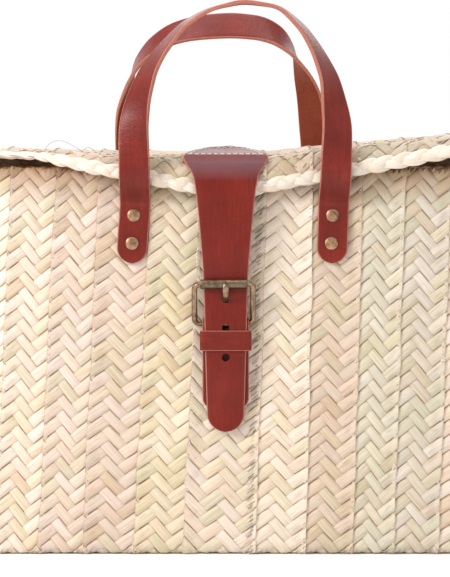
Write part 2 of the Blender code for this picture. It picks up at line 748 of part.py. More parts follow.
# ---------------------------------------------------------------- assembly
def build():
    clear()
    straw = material("woven_palm_leaf", (0.80, 0.68, 0.47), 0.75)
    cord = material("plaited_palm_rim", (0.86, 0.78, 0.62), 0.75)
    leather = material("red_brown_leather", (0.24, 0.035, 0.025), 0.45)
    flesh = material("leather_backing", (0.33, 0.10, 0.045), 0.8)
    brass = material("aged_brass", (0.32, 0.25, 0.14), 0.35, 1.0)
    steel = material("helper", (0.5, 0.5, 0.5), 0.5)

    # The woven body: eleven plaits under the floor from mouth to mouth, and a side panel at each end.
    edges = band_edges()
    bands = []
    for k in range(len(edges) - 1):
        number = k - BANDS_EACH_SIDE
        word = "centre" if number == 0 else ("left_%d" % -number if number < 0 else "right_%d" % number)
        bands.append(add("body_band_" + word, *u_band(edges[k], edges[k + 1]), straw))
    add("side_panel_left", *side_panel(-1), straw)
    add("side_panel_right", *side_panel(1), straw)
    add("mouth_rim", *mouth_rim(), cord, smooth=True)

    # The hem of the flap's weave, sewn to the back wall.
    hem = []
    for y, z in ((HEM_Y, HEM_LOW), (HEM_Y + HEM_T, HEM_LOW), (HEM_Y + HEM_T, HEM_TOP), (HEM_Y, HEM_TOP)):
        hem.append((y, z))
    add("flap_hem", *sweep([[np.array([x, y, z]) for y, z in hem] for x in (-204.0, 204.0)]), straw)

    # The flap.
    flap_pivot = pivot_at("flap_pivot", (0, HINGE_Y, HINGE_Z))
    inner = edges[1:-1]
    outer_edge = FLAP_HALF - FLAP_RIM_R - RIM_GAP
    columns = (0, 0.33, 0.67, 1)
    corner = (0, 0.25, 0.5, 0.7, 0.85, 0.95, 1)
    add("flap_band_left_5", *flap_band(-outer_edge, inner[0], [1 - c for c in reversed(corner)]), straw, flap_pivot)
    for k in range(len(inner) - 1):
        number = k - (BANDS_EACH_SIDE - 1)
        word = "centre" if number == 0 else ("left_%d" % -number if number < 0 else "right_%d" % number)
        add("flap_band_" + word, *flap_band(inner[k], inner[k + 1], columns), straw, flap_pivot)
    add("flap_band_right_5", *flap_band(inner[-1], outer_edge, corner), straw, flap_pivot)
    add("flap_rim", *flap_rim(), cord, flap_pivot, smooth=True)

    # The handles: riveted ends, backing patches inside the wall, rivets, and the two loops.
    drills = []
    for word, side, legs in (("front", -1, FRONT_LEGS), ("rear", 1, REAR_LEGS)):
        for hand, x in zip(("left", "right"), legs):
            end = add(
                "%s_handle_end_%s" % (word, hand),
                *wall_plate(x, side, END_LOW, HANDLE_PIVOT_Z - FLEX_GAP, STRAP_HALF, 0.3, 0.3 + STRAP_T),
                leather,
            )
            patch = add(
                "%s_backing_patch_%s" % (word, hand),
                *wall_plate(x, side, 214, 262, 13.0, -WEAVE - 0.3 - PATCH_T, -WEAVE - 0.3, True, True),
                flesh,
            )
            for place, z in zip(("lower", "upper"), RIVET_Z):
                add(
                    "%s_rivet_%s_%s" % (word, hand, place),
                    *lathe(x, z, side, rivet_profile(0.3 + STRAP_T, -WEAVE - 0.3 - PATCH_T)),
                    brass,
                )
                drill = helper("drill_%s_%s_%s" % (word, hand, place), *post(x, z, -12, 9, RIVET_HOLE_R, side), steel)
                drills.append((x, drill))
                cut(end, [drill])
                cut(patch, [drill])
    front_pivot = pivot_at("front_handle_pivot", (0, -half_depth(HANDLE_PIVOT_Z) - 1.8, HANDLE_PIVOT_Z))
    add("front_handle_loop", *handle_loop(FRONT_LINE, FRONT_STANCE, -1.0), leather, front_pivot)
    rear_pivot = pivot_at("rear_handle_pivot", (0, half_depth(HANDLE_PIVOT_Z) + 1.8, HANDLE_PIVOT_Z))
    add("rear_handle_loop", *handle_loop(REAR_LINE, REAR_STANCE, 1.0), leather, rear_pivot)

    # The closure: tab sewn on the flap, hanging tail, buckle strap, keeper and roller buckle.
    add("closure_tab", *flat_strap(tab_stops(), TAIL_T), leather, flap_pivot)
    tail_pivot = pivot_at("tail_pivot", (CLOSE_X, TAB_PIVOT_Y, TAB_PIVOT_Z))
    tail = add("closure_tail", *flat_strap(tail_stops(), TAIL_T), leather, tail_pivot)
    for k, z in enumerate(HOLES_Z):
        cut(tail, [helper("hole_%d" % k, *post(CLOSE_X, z, TAIL_N - 4, TAIL_N + 4, HOLE_R, steps=20), steel)])
    strap = add("buckle_strap", *flat_strap(buckle_strap_stops(), BUCKLE_STRAP_T), leather)
    slot = [
        on_wall(CLOSE_X + x, n, z)
        for z in (KEEPER_TOP + 1.0, HEEL_Z + 8)
        for x, n in ((-2.7, -1.0), (2.7, -1.0), (2.7, 12.0), (-2.7, 12.0))
    ]
    cut(strap, [helper("prong_slot", slot, [(0, 1, 2, 3), (4, 5, 6, 7), (0, 1, 5, 4), (1, 2, 6, 5), (2, 3, 7, 6), (3, 0, 4, 7)], steel)])
    patch = add(
        "buckle_backing_patch",
        *wall_plate(CLOSE_X, -1, 111, 137, 17.0, -WEAVE - 0.3 - PATCH_T, -WEAVE - 0.3, False),
        flesh,
    )
    for word, dx in (("left", -9.0), ("right", 9.0)):
        x, z = CLOSE_X + dx, 124.0
        add("buckle_rivet_" + word, *lathe(x, z, -1, rivet_profile(0.3 + BUCKLE_STRAP_T, -WEAVE - 0.3 - PATCH_T)), brass)
        drill = helper("drill_buckle_" + word, *post(x, z, -12, 6, RIVET_HOLE_R), steel)
        drills.append((x, drill))
        cut(strap, [drill])
        cut(patch, [drill])
    add(
        "keeper",
        *ring_round_strap(
            BUCKLE_STRAP_HALF + 0.4,
            HEEL_N + FOLD_INNER - 0.3,
            TAIL_N + 0.5 * TAIL_T + 0.3,
            KEEPER_T,
            KEEPER_LOW,
            KEEPER_TOP,
        ),
        leather,
    )
    heel = on_wall(CLOSE_X, HEEL_N, HEEL_Z)
    buckle_pivot = pivot_at("buckle_pivot", heel)
    path, radii, up = frame_path()
    add("buckle_frame", *tube(path, radii, 10, closed=True, up=up), brass, buckle_pivot, smooth=True)
    roller_pivot = pivot_at("roller_pivot", on_wall(CLOSE_X, ROLLER_N, ROLLER_Z))
    add("buckle_roller", *roller(), brass, roller_pivot)
    prong_pivot = pivot_at("prong_pivot", heel)
    prong = add("buckle_prong", *disc(heel, 3.6, PRONG_HALF), brass, prong_pivot)
    shank = helper("prong_shank", *prong_shank(), steel)
    joined = prong.modifiers.new("shank", "BOOLEAN")
    joined.operation = "UNION"
    joined.solver = "EXACT"
    joined.object = shank
    cut(prong, [helper("prong_bore", *disc(heel, HEEL_R + 0.3, 6.0), steel)])

    # Rivet holes in the woven wall.
    for x, drill in drills:
        for k, band in enumerate(bands):
            if edges[k] < x < edges[k + 1]:
                cut(band, [drill])


build()
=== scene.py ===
import json
import math

import bmesh
import bpy
import numpy as np
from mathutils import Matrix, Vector

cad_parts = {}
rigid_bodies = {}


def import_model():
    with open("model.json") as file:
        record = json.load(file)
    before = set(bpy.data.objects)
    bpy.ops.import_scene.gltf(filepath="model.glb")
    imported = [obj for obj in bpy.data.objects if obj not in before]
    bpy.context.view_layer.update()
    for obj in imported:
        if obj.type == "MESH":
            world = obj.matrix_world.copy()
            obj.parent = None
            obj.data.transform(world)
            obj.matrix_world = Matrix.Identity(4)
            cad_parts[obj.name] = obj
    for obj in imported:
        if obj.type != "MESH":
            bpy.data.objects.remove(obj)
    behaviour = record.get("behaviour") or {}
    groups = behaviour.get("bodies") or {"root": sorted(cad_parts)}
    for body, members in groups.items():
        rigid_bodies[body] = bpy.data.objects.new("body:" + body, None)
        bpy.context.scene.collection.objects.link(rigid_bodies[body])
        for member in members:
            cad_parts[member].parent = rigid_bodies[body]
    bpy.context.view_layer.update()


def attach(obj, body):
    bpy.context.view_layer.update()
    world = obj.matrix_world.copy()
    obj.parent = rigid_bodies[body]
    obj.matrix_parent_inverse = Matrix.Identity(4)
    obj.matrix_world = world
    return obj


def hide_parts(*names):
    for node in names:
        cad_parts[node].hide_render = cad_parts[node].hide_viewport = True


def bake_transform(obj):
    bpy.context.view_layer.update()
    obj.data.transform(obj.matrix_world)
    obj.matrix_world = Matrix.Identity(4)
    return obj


for thing in list(bpy.data.objects):
    bpy.data.objects.remove(thing, do_unlink=True)
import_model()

# ------------------------------------------------------------------ sizes, in millimetres, as in the CAD
HEIGHT = 278.0
FLOOR_HALF_DEPTH, MOUTH_HALF_DEPTH = 75.0, 62.5
FLOOR_ROUND, CORNER_ROUND = 5.5, 22.0
CENTRE_BAND_HALF, BAND = 25.5, 34.3
CORNER_X = 197.15
HALF_WIDTH = CORNER_X + CORNER_ROUND
BETA = math.atan((FLOOR_HALF_DEPTH - MOUTH_HALF_DEPTH) / HEIGHT)
FLAP_BACK_Y, FLAP_BACK_Z = 65.0, 289.6
FLAP_BEND_Y, FLAP_BEND_R, FLAP_FRONT_Z, FLAP_DOME = -60.0, 12.5, 289.5, 3.45
FLAP_CORNER_X, FLAP_HALF, FLAP_CORNER_DEPTH = 165.0, 215.0, 60.0
FLAP_RIM_R, FLAP_RIM_LOW, FLAP_RIM_CLIMB, RIM_GAP = 5.0, 270.0, 27.0, 1.6
RISE_RIGHT, RISE_LEFT = 14.5, 3.5
STRAP_HALF, STRAP_T = 11.3, 3.0
FRONT_LEGS, REAR_LEGS = (-68.6, 76.6), (-78.2, 68.8)
RIVET_Z = (228.5, 249.0)
CLOSE_X = -2.4
TAIL_T, TAIL_N, TAIL_TIP_Z = 2.8, 10.4, 91.0
HOLE_R, HOLES_Z = 3.1, (188.0, 168.0, 146.5)
HEEL_N, HEEL_Z, HEEL_R = 4.5, 170.0, 1.7
ROLLER_N, ROLLER_Z, ROLLER_R, ROLLER_HALF, ROLLER_BORE = 15.6, 199.0, 3.5, 17.0, 2.25
TOP_BAR_R, SIDE_BAR_R, FRAME_HALF, FRAME_CORNER = 1.9, 2.1, 21.35, 4.0
BUCKLE_STRAP_T, BUCKLE_STRAP_HALF, BUCKLE_STRAP_LOW, FOLD_INNER = 2.2, 17.0, 109.5, 2.0
KEEPER_LOW, KEEPER_TOP, KEEPER_T = 150.5, 164.3, 1.5
PATCH_T = 2.0


def unit(v):
    return v / np.linalg.norm(v)


def smooth01(t):
    t = np.clip(t, 0.0, 1.0)
    return t * t * (3 - 2 * t)


# ------------------------------------------------------------------ node materials
class Nodes:
    """A material's node tree, built by short calls."""

    def __init__(self, name):
        self.material = bpy.data.materials.new(name)
        self.material.use_nodes = True
        self.tree = self.material.node_tree
        self.shader = self.tree.nodes["Principled BSDF"]

    def node(self, kind, **settings):
        made = self.tree.nodes.new(kind)
        for key, value in settings.items():
            setattr(made, key, value)
        return made

    def link(self, a, b):
        self.tree.links.new(a, b)

    def attribute(self, name):
        return self.node("ShaderNodeAttribute", attribute_name=name)

    def object_coords(self):
        return self.node("ShaderNodeTexCoord").outputs["Object"]

    def mapping(self, vector, scale):
        made = self.node("ShaderNodeMapping")
        made.inputs["Scale"].default_value = scale
        self.link(vector, made.inputs["Vector"])
        return made.outputs["Vector"]

    def noise(self, vector, scale, detail=3.0, rough=0.5, distortion=0.0):
        made = self.node("ShaderNodeTexNoise")
        made.inputs["Scale"].default_value = scale
        made.inputs["Detail"].default_value = detail
        made.inputs["Roughness"].default_value = rough
        made.inputs["Distortion"].default_value = distortion
        self.link(vector, made.inputs["Vector"])
        return made.outputs["Fac"]

    def voronoi(self, vector, scale, feature="DISTANCE_TO_EDGE"):
        made = self.node("ShaderNodeTexVoronoi", feature=feature)
        made.inputs["Scale"].default_value = scale
        self.link(vector, made.inputs["Vector"])
        return made.outputs["Distance"]

    def ramp(self, fac, stops):
        made = self.node("ShaderNodeValToRGB")
        elements = made.color_ramp.elements
        while len(elements) < len(stops):
            elements.new(0.5)
        for element, (where, colour) in zip(elements, stops):
            element.position = where
            if not hasattr(colour, "__len__"):
                colour = (colour, colour, colour)
            element.color = (*colour, 1.0)
        self.link(fac, made.inputs["Fac"])
        return made.outputs["Color"]

    def remap(self, value, a, b, c, d):
        made = self.node("ShaderNodeMapRange")
        for key, number in zip(("From Min", "From Max", "To Min", "To Max"), (a, b, c, d)):
            made.inputs[key].default_value = number
        self.link(value, made.inputs["Value"])
        return made.outputs["Result"]

    def mix(self, kind, fac, a, b):
        made = self.node("ShaderNodeMix", data_type="RGBA", blend_type=kind)
        for socket, value in ((made.inputs["Factor"], fac), (made.inputs["A"], a), (made.inputs["B"], b)):
            pass
        factor = [s for s in made.inputs if s.name == "Factor" and s.type == "VALUE"][0]
        first = [s for s in made.inputs if s.name == "A" and s.type == "RGBA"][0]
        second = [s for s in made.inputs if s.name == "B" and s.type == "RGBA"][0]
        for socket, value in ((factor, fac), (first, a), (second, b)):
            if hasattr(value, "is_linked"):
                self.link(value, socket)
            elif hasattr(value, "__len__"):
                socket.default_value = (*value, 1.0)
            else:
                socket.default_value = value
        return [s for s in made.outputs if s.type == "RGBA"][0]

    def math(self, operation, a, b):
        made = self.node("ShaderNodeMath", operation=operation)
        for socket, value in zip(made.inputs, (a, b)):
            if hasattr(value, "is_linked"):
                self.link(value, socket)
            else:
                socket.default_value = value
        return made.outputs["Value"]

    def bump(self, height, strength, distance, before=None):
        made = self.node("ShaderNodeBump")
        made.inputs["Strength"].default_value = strength
        made.inputs["Distance"].default_value = distance
        self.link(height, made.inputs["Height"])
        if before is not None:
            self.link(before, made.inputs["Normal"])
        return made.outputs["Normal"]

    def separate(self, vector):
        made = self.node("ShaderNodeSeparateXYZ")
        self.link(vector, made.inputs["Vector"])
        return made.outputs


def straw_material(name, gloss=0.50, painted_mouth_shade=False):
    """Dried palm leaf: long fibre lines, greenish, brown and pink streaks, darker thin edges."""
    n = Nodes(name)
    grain = n.attribute("grain").outputs["Vector"]
    tint = n.attribute("tint").outputs["Color"]
    broad = n.noise(n.mapping(grain, (0.035, 0.42, 1.0)), 1.0, 2.0)
    fibre = n.noise(n.mapping(grain, (0.05, 1.7, 1.0)), 1.0, 3.0, 0.6)
    fine = n.noise(n.mapping(grain, (0.12, 5.5, 1.0)), 1.0, 2.0, 0.6)
    speck = n.noise(n.mapping(grain, (0.25, 1.1, 1.0)), 1.0, 4.0, 0.7)
    col = n.mix("MULTIPLY", 1.0, tint, n.ramp(broad, ((0.25, (0.90, 0.87, 0.78)), (0.5, (1.0, 1.0, 1.0)), (0.78, (1.05, 1.04, 1.04)))))
    col = n.mix("MULTIPLY", 1.0, col, n.ramp(fibre, ((0.30, (0.80, 0.74, 0.62)), (0.46, (1.0, 0.99, 0.97)), (0.8, (1.06, 1.05, 1.04)))))
    col = n.mix("MULTIPLY", 0.75, col, n.ramp(fine, ((0.28, (0.76, 0.70, 0.58)), (0.45, (1.0, 1.0, 1.0)))))
    col = n.mix("MIX", n.remap(speck, 0.64, 0.80, 0.0, 0.45), col, (0.36, 0.23, 0.12))
    edge = n.attribute("edge").outputs["Fac"]
    col = n.mix("MULTIPLY", n.remap(edge, 0.6, 1.0, 0.0, 0.6), col, (0.66, 0.50, 0.36))
    if painted_mouth_shade:
        # painted shade under the flap: darker and browner toward the mouth
        high = n.separate(n.object_coords())[2]
        level = n.math("ADD", high, n.math("MULTIPLY", speck, 0.012))
        col = n.mix("MULTIPLY", n.remap(level, 0.262, 0.290, 0.0, 1.0), col, (0.56, 0.40, 0.27))
    n.link(col, n.shader.inputs["Base Color"])
    n.link(n.remap(fibre, 0.2, 0.8, gloss + 0.16, gloss - 0.06), n.shader.inputs["Roughness"])
    n.shader.inputs["Specular IOR Level"].default_value = 0.42
    n.shader.inputs["Sheen Weight"].default_value = 0.08
    height = n.math("ADD", n.math("MULTIPLY", fibre, 1.0), n.math("MULTIPLY", fine, 0.45))
    n.link(n.bump(height, 0.75, 0.00035), n.shader.inputs["Normal"])
    return n.material


def leather_material(name, dark, mid, bright, roughness, specular=0.5, crease=0.5, painted_sheen=None):
    """Smooth finished leather: fine pores, soft creases, rubbed lighter and browner toward its edges."""
    n = Nodes(name)
    where = n.object_coords()
    grain = n.attribute("grain").outputs["Vector"]
    cloud = n.noise(where, 38.0, 4.0, 0.6)
    pull = n.noise(n.mapping(grain, (0.05, 0.5, 1.0)), 1.0, 4.0, 0.6)
    pores = n.voronoi(where, 1500.0)
    pebble = n.noise(where, 900.0, 3.0, 0.6)
    wrinkle = n.noise(n.mapping(grain, (0.35, 0.09, 1.0)), 1.0, 5.0, 0.65, 0.6)
    col = n.ramp(n.math("ADD", n.math("MULTIPLY", cloud, 0.6), n.math("MULTIPLY", pull, 0.4)), ((0.30, dark), (0.52, mid), (0.74, bright)))
    col = n.mix("MULTIPLY", 0.35, col, n.ramp(pebble, ((0.35, 0.62), (0.6, 1.0))))
    edge = n.attribute("edge").outputs["Fac"]
    col = n.mix("MIX", n.remap(edge, 0.80, 1.0, 0.0, 0.40), col, (0.11, 0.020, 0.016))
    if painted_sheen is not None:
        # painted sheen: a purple-grey haze, set by height, on the leather over the tab's bend
        high = n.separate(where)[2]
        level = n.math("ADD", high, n.math("MULTIPLY", n.math("SUBTRACT", cloud, 0.5), 0.004))
        col = n.mix("MIX", n.ramp(n.remap(level, 0.272, 0.296, 0.0, 1.0), ((0.10, 0.0), (0.42, 0.62), (0.66, 0.85), (0.84, 0.35))), col, painted_sheen)
    n.link(col, n.shader.inputs["Base Color"])
    n.link(n.remap(cloud, 0.3, 0.7, roughness + 0.07, roughness - 0.06), n.shader.inputs["Roughness"])
    n.shader.inputs["Specular IOR Level"].default_value = specular
    n.shader.inputs["Coat Weight"].default_value = 0.10
    n.shader.inputs["Coat Roughness"].default_value = 0.28
    first = n.bump(n.ramp(pores, ((0.0, 0.0), (0.25, 1.0))), 0.22, 0.00012)
    second = n.bump(pebble, 0.25, 0.00018, first)
    n.link(n.bump(wrinkle, crease, 0.0006, second), n.shader.inputs["Normal"])
    return n.material


def cut_edge_material(name, light, dark):
    """The cut side of thick leather: layered fibres along the strap."""
    n = Nodes(name)
    grain = n.attribute("grain").outputs["Vector"]
    fibre = n.noise(n.mapping(grain, (0.25, 1.0, 3.0)), 1.0, 5.0, 0.7)
    col = n.ramp(fibre, ((0.32, dark), (0.52, light), (0.75, tuple(min(1.0, c * 1.3) for c in light))))
    n.link(col, n.shader.inputs["Base Color"])
    n.shader.inputs["Roughness"].default_value = 0.62
    n.link(n.bump(fibre, 0.6, 0.0004), n.shader.inputs["Normal"])
    return n.material


def flesh_material(name, light, dark):
    """The rough underside of leather."""
    n = Nodes(name)
    where = n.object_coords()
    nap = n.noise(where, 700.0, 4.0, 0.7)
    cloud = n.noise(where, 45.0, 3.0, 0.5)
    col = n.ramp(n.math("ADD", n.math("MULTIPLY", nap, 0.5), n.math("MULTIPLY", cloud, 0.5)), ((0.34, dark), (0.66, light)))
    n.link(col, n.shader.inputs["Base Color"])
    n.shader.inputs["Roughness"].default_value = 0.72
    n.shader.inputs["Specular IOR Level"].default_value = 0.15
    n.shader.inputs["Sheen Weight"].default_value = 0.04
    n.link(n.bump(nap, 0.5, 0.0003), n.shader.inputs["Normal"])
    return n.material


def brass_material(name, base, dark, roughness=0.34):
    """Aged brass: rubbed bright on the highest parts, brown in the scratches and recesses."""
    n = Nodes(name)
    where = n.object_coords()
    patina = n.noise(where, 260.0, 5.0, 0.65)
    spots = n.noise(where, 1100.0, 3.0, 0.6)
    scratch = n.noise(n.mapping(where, (260.0, 1900.0, 420.0)), 1.0, 2.0, 0.5)
    col = n.ramp(patina, ((0.30, dark), (0.55, base), (0.78, tuple(min(1.0, c * 1.35) for c in base))))
    col = n.mix("MULTIPLY", 0.5, col, n.ramp(spots, ((0.34, (0.45, 0.36, 0.26)), (0.52, (1.0, 1.0, 1.0)))))
    n.link(col, n.shader.inputs["Base Color"])
    n.shader.inputs["Metallic"].default_value = 1.0
    n.link(n.remap(patina, 0.3, 0.7, roughness + 0.16, roughness - 0.06), n.shader.inputs["Roughness"])
    n.link(n.bump(scratch, 0.25, 0.00010, n.bump(patina, 0.3, 0.00025)), n.shader.inputs["Normal"])
    return n.material


def thread_material(name, colour, dark):
    """Twisted sewing thread."""
    n = Nodes(name)
    grain = n.attribute("grain").outputs["Vector"]
    split = n.separate(grain)
    wave = n.math("SINE", n.math("ADD", n.math("MULTIPLY", split[0], 7.0), n.math("MULTIPLY", split[1], 6.2832)), 0.0)
    fuzz = n.noise(n.object_coords(), 1500.0, 3.0)
    n.link(n.mix("MIX", n.remap(fuzz, 0.3, 0.7, 0.0, 1.0), dark, colour), n.shader.inputs["Base Color"])
    n.shader.inputs["Roughness"].default_value = 0.7
    n.link(n.bump(wave, 0.8, 0.0002), n.shader.inputs["Normal"])
    return n.material


STRAW = straw_material("straw_weave")
# the wall's straw carries painted shade under the flap, toward the mouth
WALLSTRAW = straw_material("straw_wall", painted_mouth_shade=True)
RIMSTRAW = straw_material("straw_rim", 0.46)
LEATHER = leather_material("leather_grain", (0.090, 0.0060, 0.0029), (0.146, 0.0106, 0.0048), (0.208, 0.021, 0.011), 0.30, 0.18)
# the closure's leather carries a painted sheen over the tab's bend
LEATHER_FLAT = leather_material("leather_closure", (0.100, 0.0062, 0.0026), (0.145, 0.0098, 0.0042), (0.185, 0.017, 0.0075), 0.34, 0.15, painted_sheen=(0.135, 0.062, 0.070))
CUT = cut_edge_material("leather_cut_edge", (0.36, 0.115, 0.075), (0.17, 0.040, 0.025))
FLESH = flesh_material("leather_flesh", (0.190, 0.036, 0.012), (0.115, 0.018, 0.007))
BACKING = flesh_material("leather_backing", (0.34, 0.15, 0.07), (0.20, 0.075, 0.035))
BRASS = brass_material("brass_aged", (0.38, 0.225, 0.135), (0.13, 0.07, 0.038))
BRASS_FRAME = brass_material("brass_greyed", (0.285, 0.195, 0.125), (0.085, 0.060, 0.040), 0.27)
BRASS_ROLLER = brass_material("brass_roller", (0.185, 0.135, 0.088), (0.075, 0.052, 0.033), 0.36)
WHITE_THREAD = thread_material("thread_white", (0.86, 0.78, 0.72), (0.60, 0.47, 0.42))
SEAM_THREAD = thread_material("thread_seam", (0.40, 0.31, 0.28), (0.22, 0.16, 0.15))
HAIR = straw_material("straw_fibre", 0.5)


# ------------------------------------------------------------------ meshes
def make(name, points, quads, tris=(), mats=(), index=None, attrs=None, sharp=None):
    """One named mesh from arrays, in millimetres. attrs holds per-point grain, tint and edge."""
    points = np.asarray(points, float).reshape(-1, 3)
    quads = np.asarray(quads, np.int32).reshape(-1, 4)
    tris = np.asarray(tris, np.int32).reshape(-1, 3)
    mesh = bpy.data.meshes.new(name)
    mesh.vertices.add(len(points))
    mesh.vertices.foreach_set("co", (points * 0.001).astype(np.float32).ravel())
    loops = np.concatenate([quads.ravel(), tris.ravel()])
    mesh.loops.add(len(loops))
    mesh.loops.foreach_set("vertex_index", loops)
    mesh.polygons.add(len(quads) + len(tris))
    starts = np.concatenate([np.arange(len(quads)) * 4, len(quads) * 4 + np.arange(len(tris)) * 3])
    mesh.polygons.foreach_set("loop_start", starts.astype(np.int32))
    mesh.update(calc_edges=True)
    for mat in mats:
        mesh.materials.append(mat)
    if index is not None:
        mesh.polygons.foreach_set("material_index", np.asarray(index, np.int32))
    mesh.polygons.foreach_set("use_smooth", np.ones(len(mesh.polygons), bool))
    attrs = attrs or {}
    grain = attrs.get("grain")
    if grain is None:
        grain = points
    store = mesh.attributes.new("grain", "FLOAT_VECTOR", "POINT")
    store.data.foreach_set("vector", np.asarray(grain, np.float32).ravel())
    edge = attrs.get("edge")
    if edge is None:
        edge = np.zeros(len(points))
    store = mesh.attributes.new("edge", "FLOAT", "POINT")
    store.data.foreach_set("value", np.asarray(edge, np.float32).ravel())
    if attrs.get("tint") is not None:
        tint = np.concatenate([np.asarray(attrs["tint"], float), np.ones((len(points), 1))], axis=1)
        store = mesh.attributes.new("tint", "FLOAT_COLOR", "POINT")
        store.data.foreach_set("color", tint.astype(np.float32).ravel())
    mesh.validate()
    if sharp:
        mesh.set_sharp_from_angle(angle=math.radians(sharp))
    thing = bpy.data.objects.new(name, mesh)
    bpy.context.scene.collection.objects.link(thing)
    return thing


class Bag:
    """Meshes put together into one piece."""

    def __init__(self):
        self.points, self.quads, self.tris, self.qi, self.ti = [], [], [], [], []
        self.grain, self.tint, self.edge = [], [], []
        self.count = 0

    def add(self, points, quads, tris=(), mat=0, grain=None, tint=None, edge=None, qmat=None):
        points = np.asarray(points, float).reshape(-1, 3)
        quads = np.asarray(quads, np.int64).reshape(-1, 4)
        tris = np.asarray(tris, np.int64).reshape(-1, 3)
        self.points.append(points)
        self.quads.append(quads + self.count)
        self.tris.append(tris + self.count)
        self.qi.append(np.full(len(quads), mat) if qmat is None else np.asarray(qmat))
        self.ti.append(np.full(len(tris), mat))
        self.grain.append(points if grain is None else np.asarray(grain, float).reshape(-1, 3))
        tint = (0.8, 0.68, 0.47) if tint is None else tint
        tint = np.asarray(tint, float)
        self.tint.append(np.broadcast_to(tint, (len(points), 3)) if tint.ndim == 1 else tint.reshape(-1, 3))
        self.edge.append(np.zeros(len(points)) if edge is None else np.asarray(edge, float).ravel())
        self.count += len(points)

    def make(self, name, mats, sharp=None):
        return make(
            name,
            np.concatenate(self.points),
            np.concatenate(self.quads),
            np.concatenate(self.tris),
            mats,
            np.concatenate(self.qi + self.ti),
            {"grain": np.concatenate(self.grain), "tint": np.concatenate(self.tint), "edge": np.concatenate(self.edge)},
            sharp,
        )


def rings_faces(rings, count, closed=False, around=True):
    """Quads between equal rings of points, and the two end caps as fans of triangles."""
    quads = []
    for i in range(rings if closed else rings - 1):
        a, b = i * count, ((i + 1) % rings) * count
        k = np.arange(count)
        m = (k + 1) % count
        quads.append(np.stack([a + k, a + m, b + m, b + k], axis=1))
    tris = []
    if not closed:
        last = (rings - 1) * count
        for k in range(1, count - 1):
            tris.append((0, k + 1, k))
            tris.append((last, last + k, last + k + 1))
    return np.concatenate(quads), np.array(tris).reshape(-1, 3)


def tangents(path, closed=False):
    path = np.asarray(path, float)
    if closed:
        t = np.roll(path, -1, axis=0) - np.roll(path, 1, axis=0)
    else:
        t = np.gradient(path, axis=0)
    return t / np.linalg.norm(t, axis=1, keepdims=True)


def tube(bag, path, radius, sides=16, closed=False, up=(0.0, 0.0, 1.0), mat=0, tint=None, flat=1.0):
    path = np.asarray(path, float)
    t = tangents(path, closed)
    up = np.broadcast_to(np.asarray(up, float), path.shape)
    first = np.cross(t, up)
    size = np.linalg.norm(first, axis=1, keepdims=True)
    first = np.where(size < 1e-6, np.cross(t, (1.0, 0.0, 0.0)), first)
    first = first / np.linalg.norm(first, axis=1, keepdims=True)
    second = np.cross(t, first)
    radius = np.broadcast_to(np.asarray(radius, float), (len(path),))
    a = 2 * np.pi * np.arange(sides) / sides
    points = path[:, None] + radius[:, None, None] * (
        np.cos(a)[None, :, None] * first[:, None] + flat * np.sin(a)[None, :, None] * second[:, None]
    )
    run = np.concatenate([[0], np.cumsum(np.linalg.norm(np.diff(path, axis=0), axis=1))])
    grain = np.stack(
        np.broadcast_arrays(run[:, None], (radius[:, None] * a[None, :]), np.zeros((len(path), sides))), axis=2
    )
    quads, tris = rings_faces(len(path), sides, closed)
    bag.add(points, quads[:, ::-1], tris[:, ::-1] if len(tris) else (), mat, grain, tint)


def half_depth(z):
    return FLOOR_HALF_DEPTH - math.tan(BETA) * z


def on_wall(x, n, z, side=-1):
    return np.array([x, side * (half_depth(z) + n * math.cos(BETA)), z + n * math.sin(BETA)])


# ------------------------------------------------------------------ the weave
def rand_tint(rng, base, count):
    """Colours of single leaf strips about a plait's own tint."""
    base = np.asarray(base, float)
    kinds = np.array(
        [(1.0, 1.0, 1.0), (1.05, 1.05, 1.08), (0.97, 0.96, 0.86), (1.0, 0.95, 0.92), (0.93, 0.97, 0.88), (0.92, 0.86, 0.76), (1.03, 1.02, 0.98)]
    )
    pick = rng.choice(len(kinds), count, p=(0.28, 0.2, 0.12, 0.12, 0.10, 0.05, 0.13))
    return np.clip(base * kinds[pick] * rng.uniform(0.95, 1.04, (count, 1)), 0.02, 0.93)


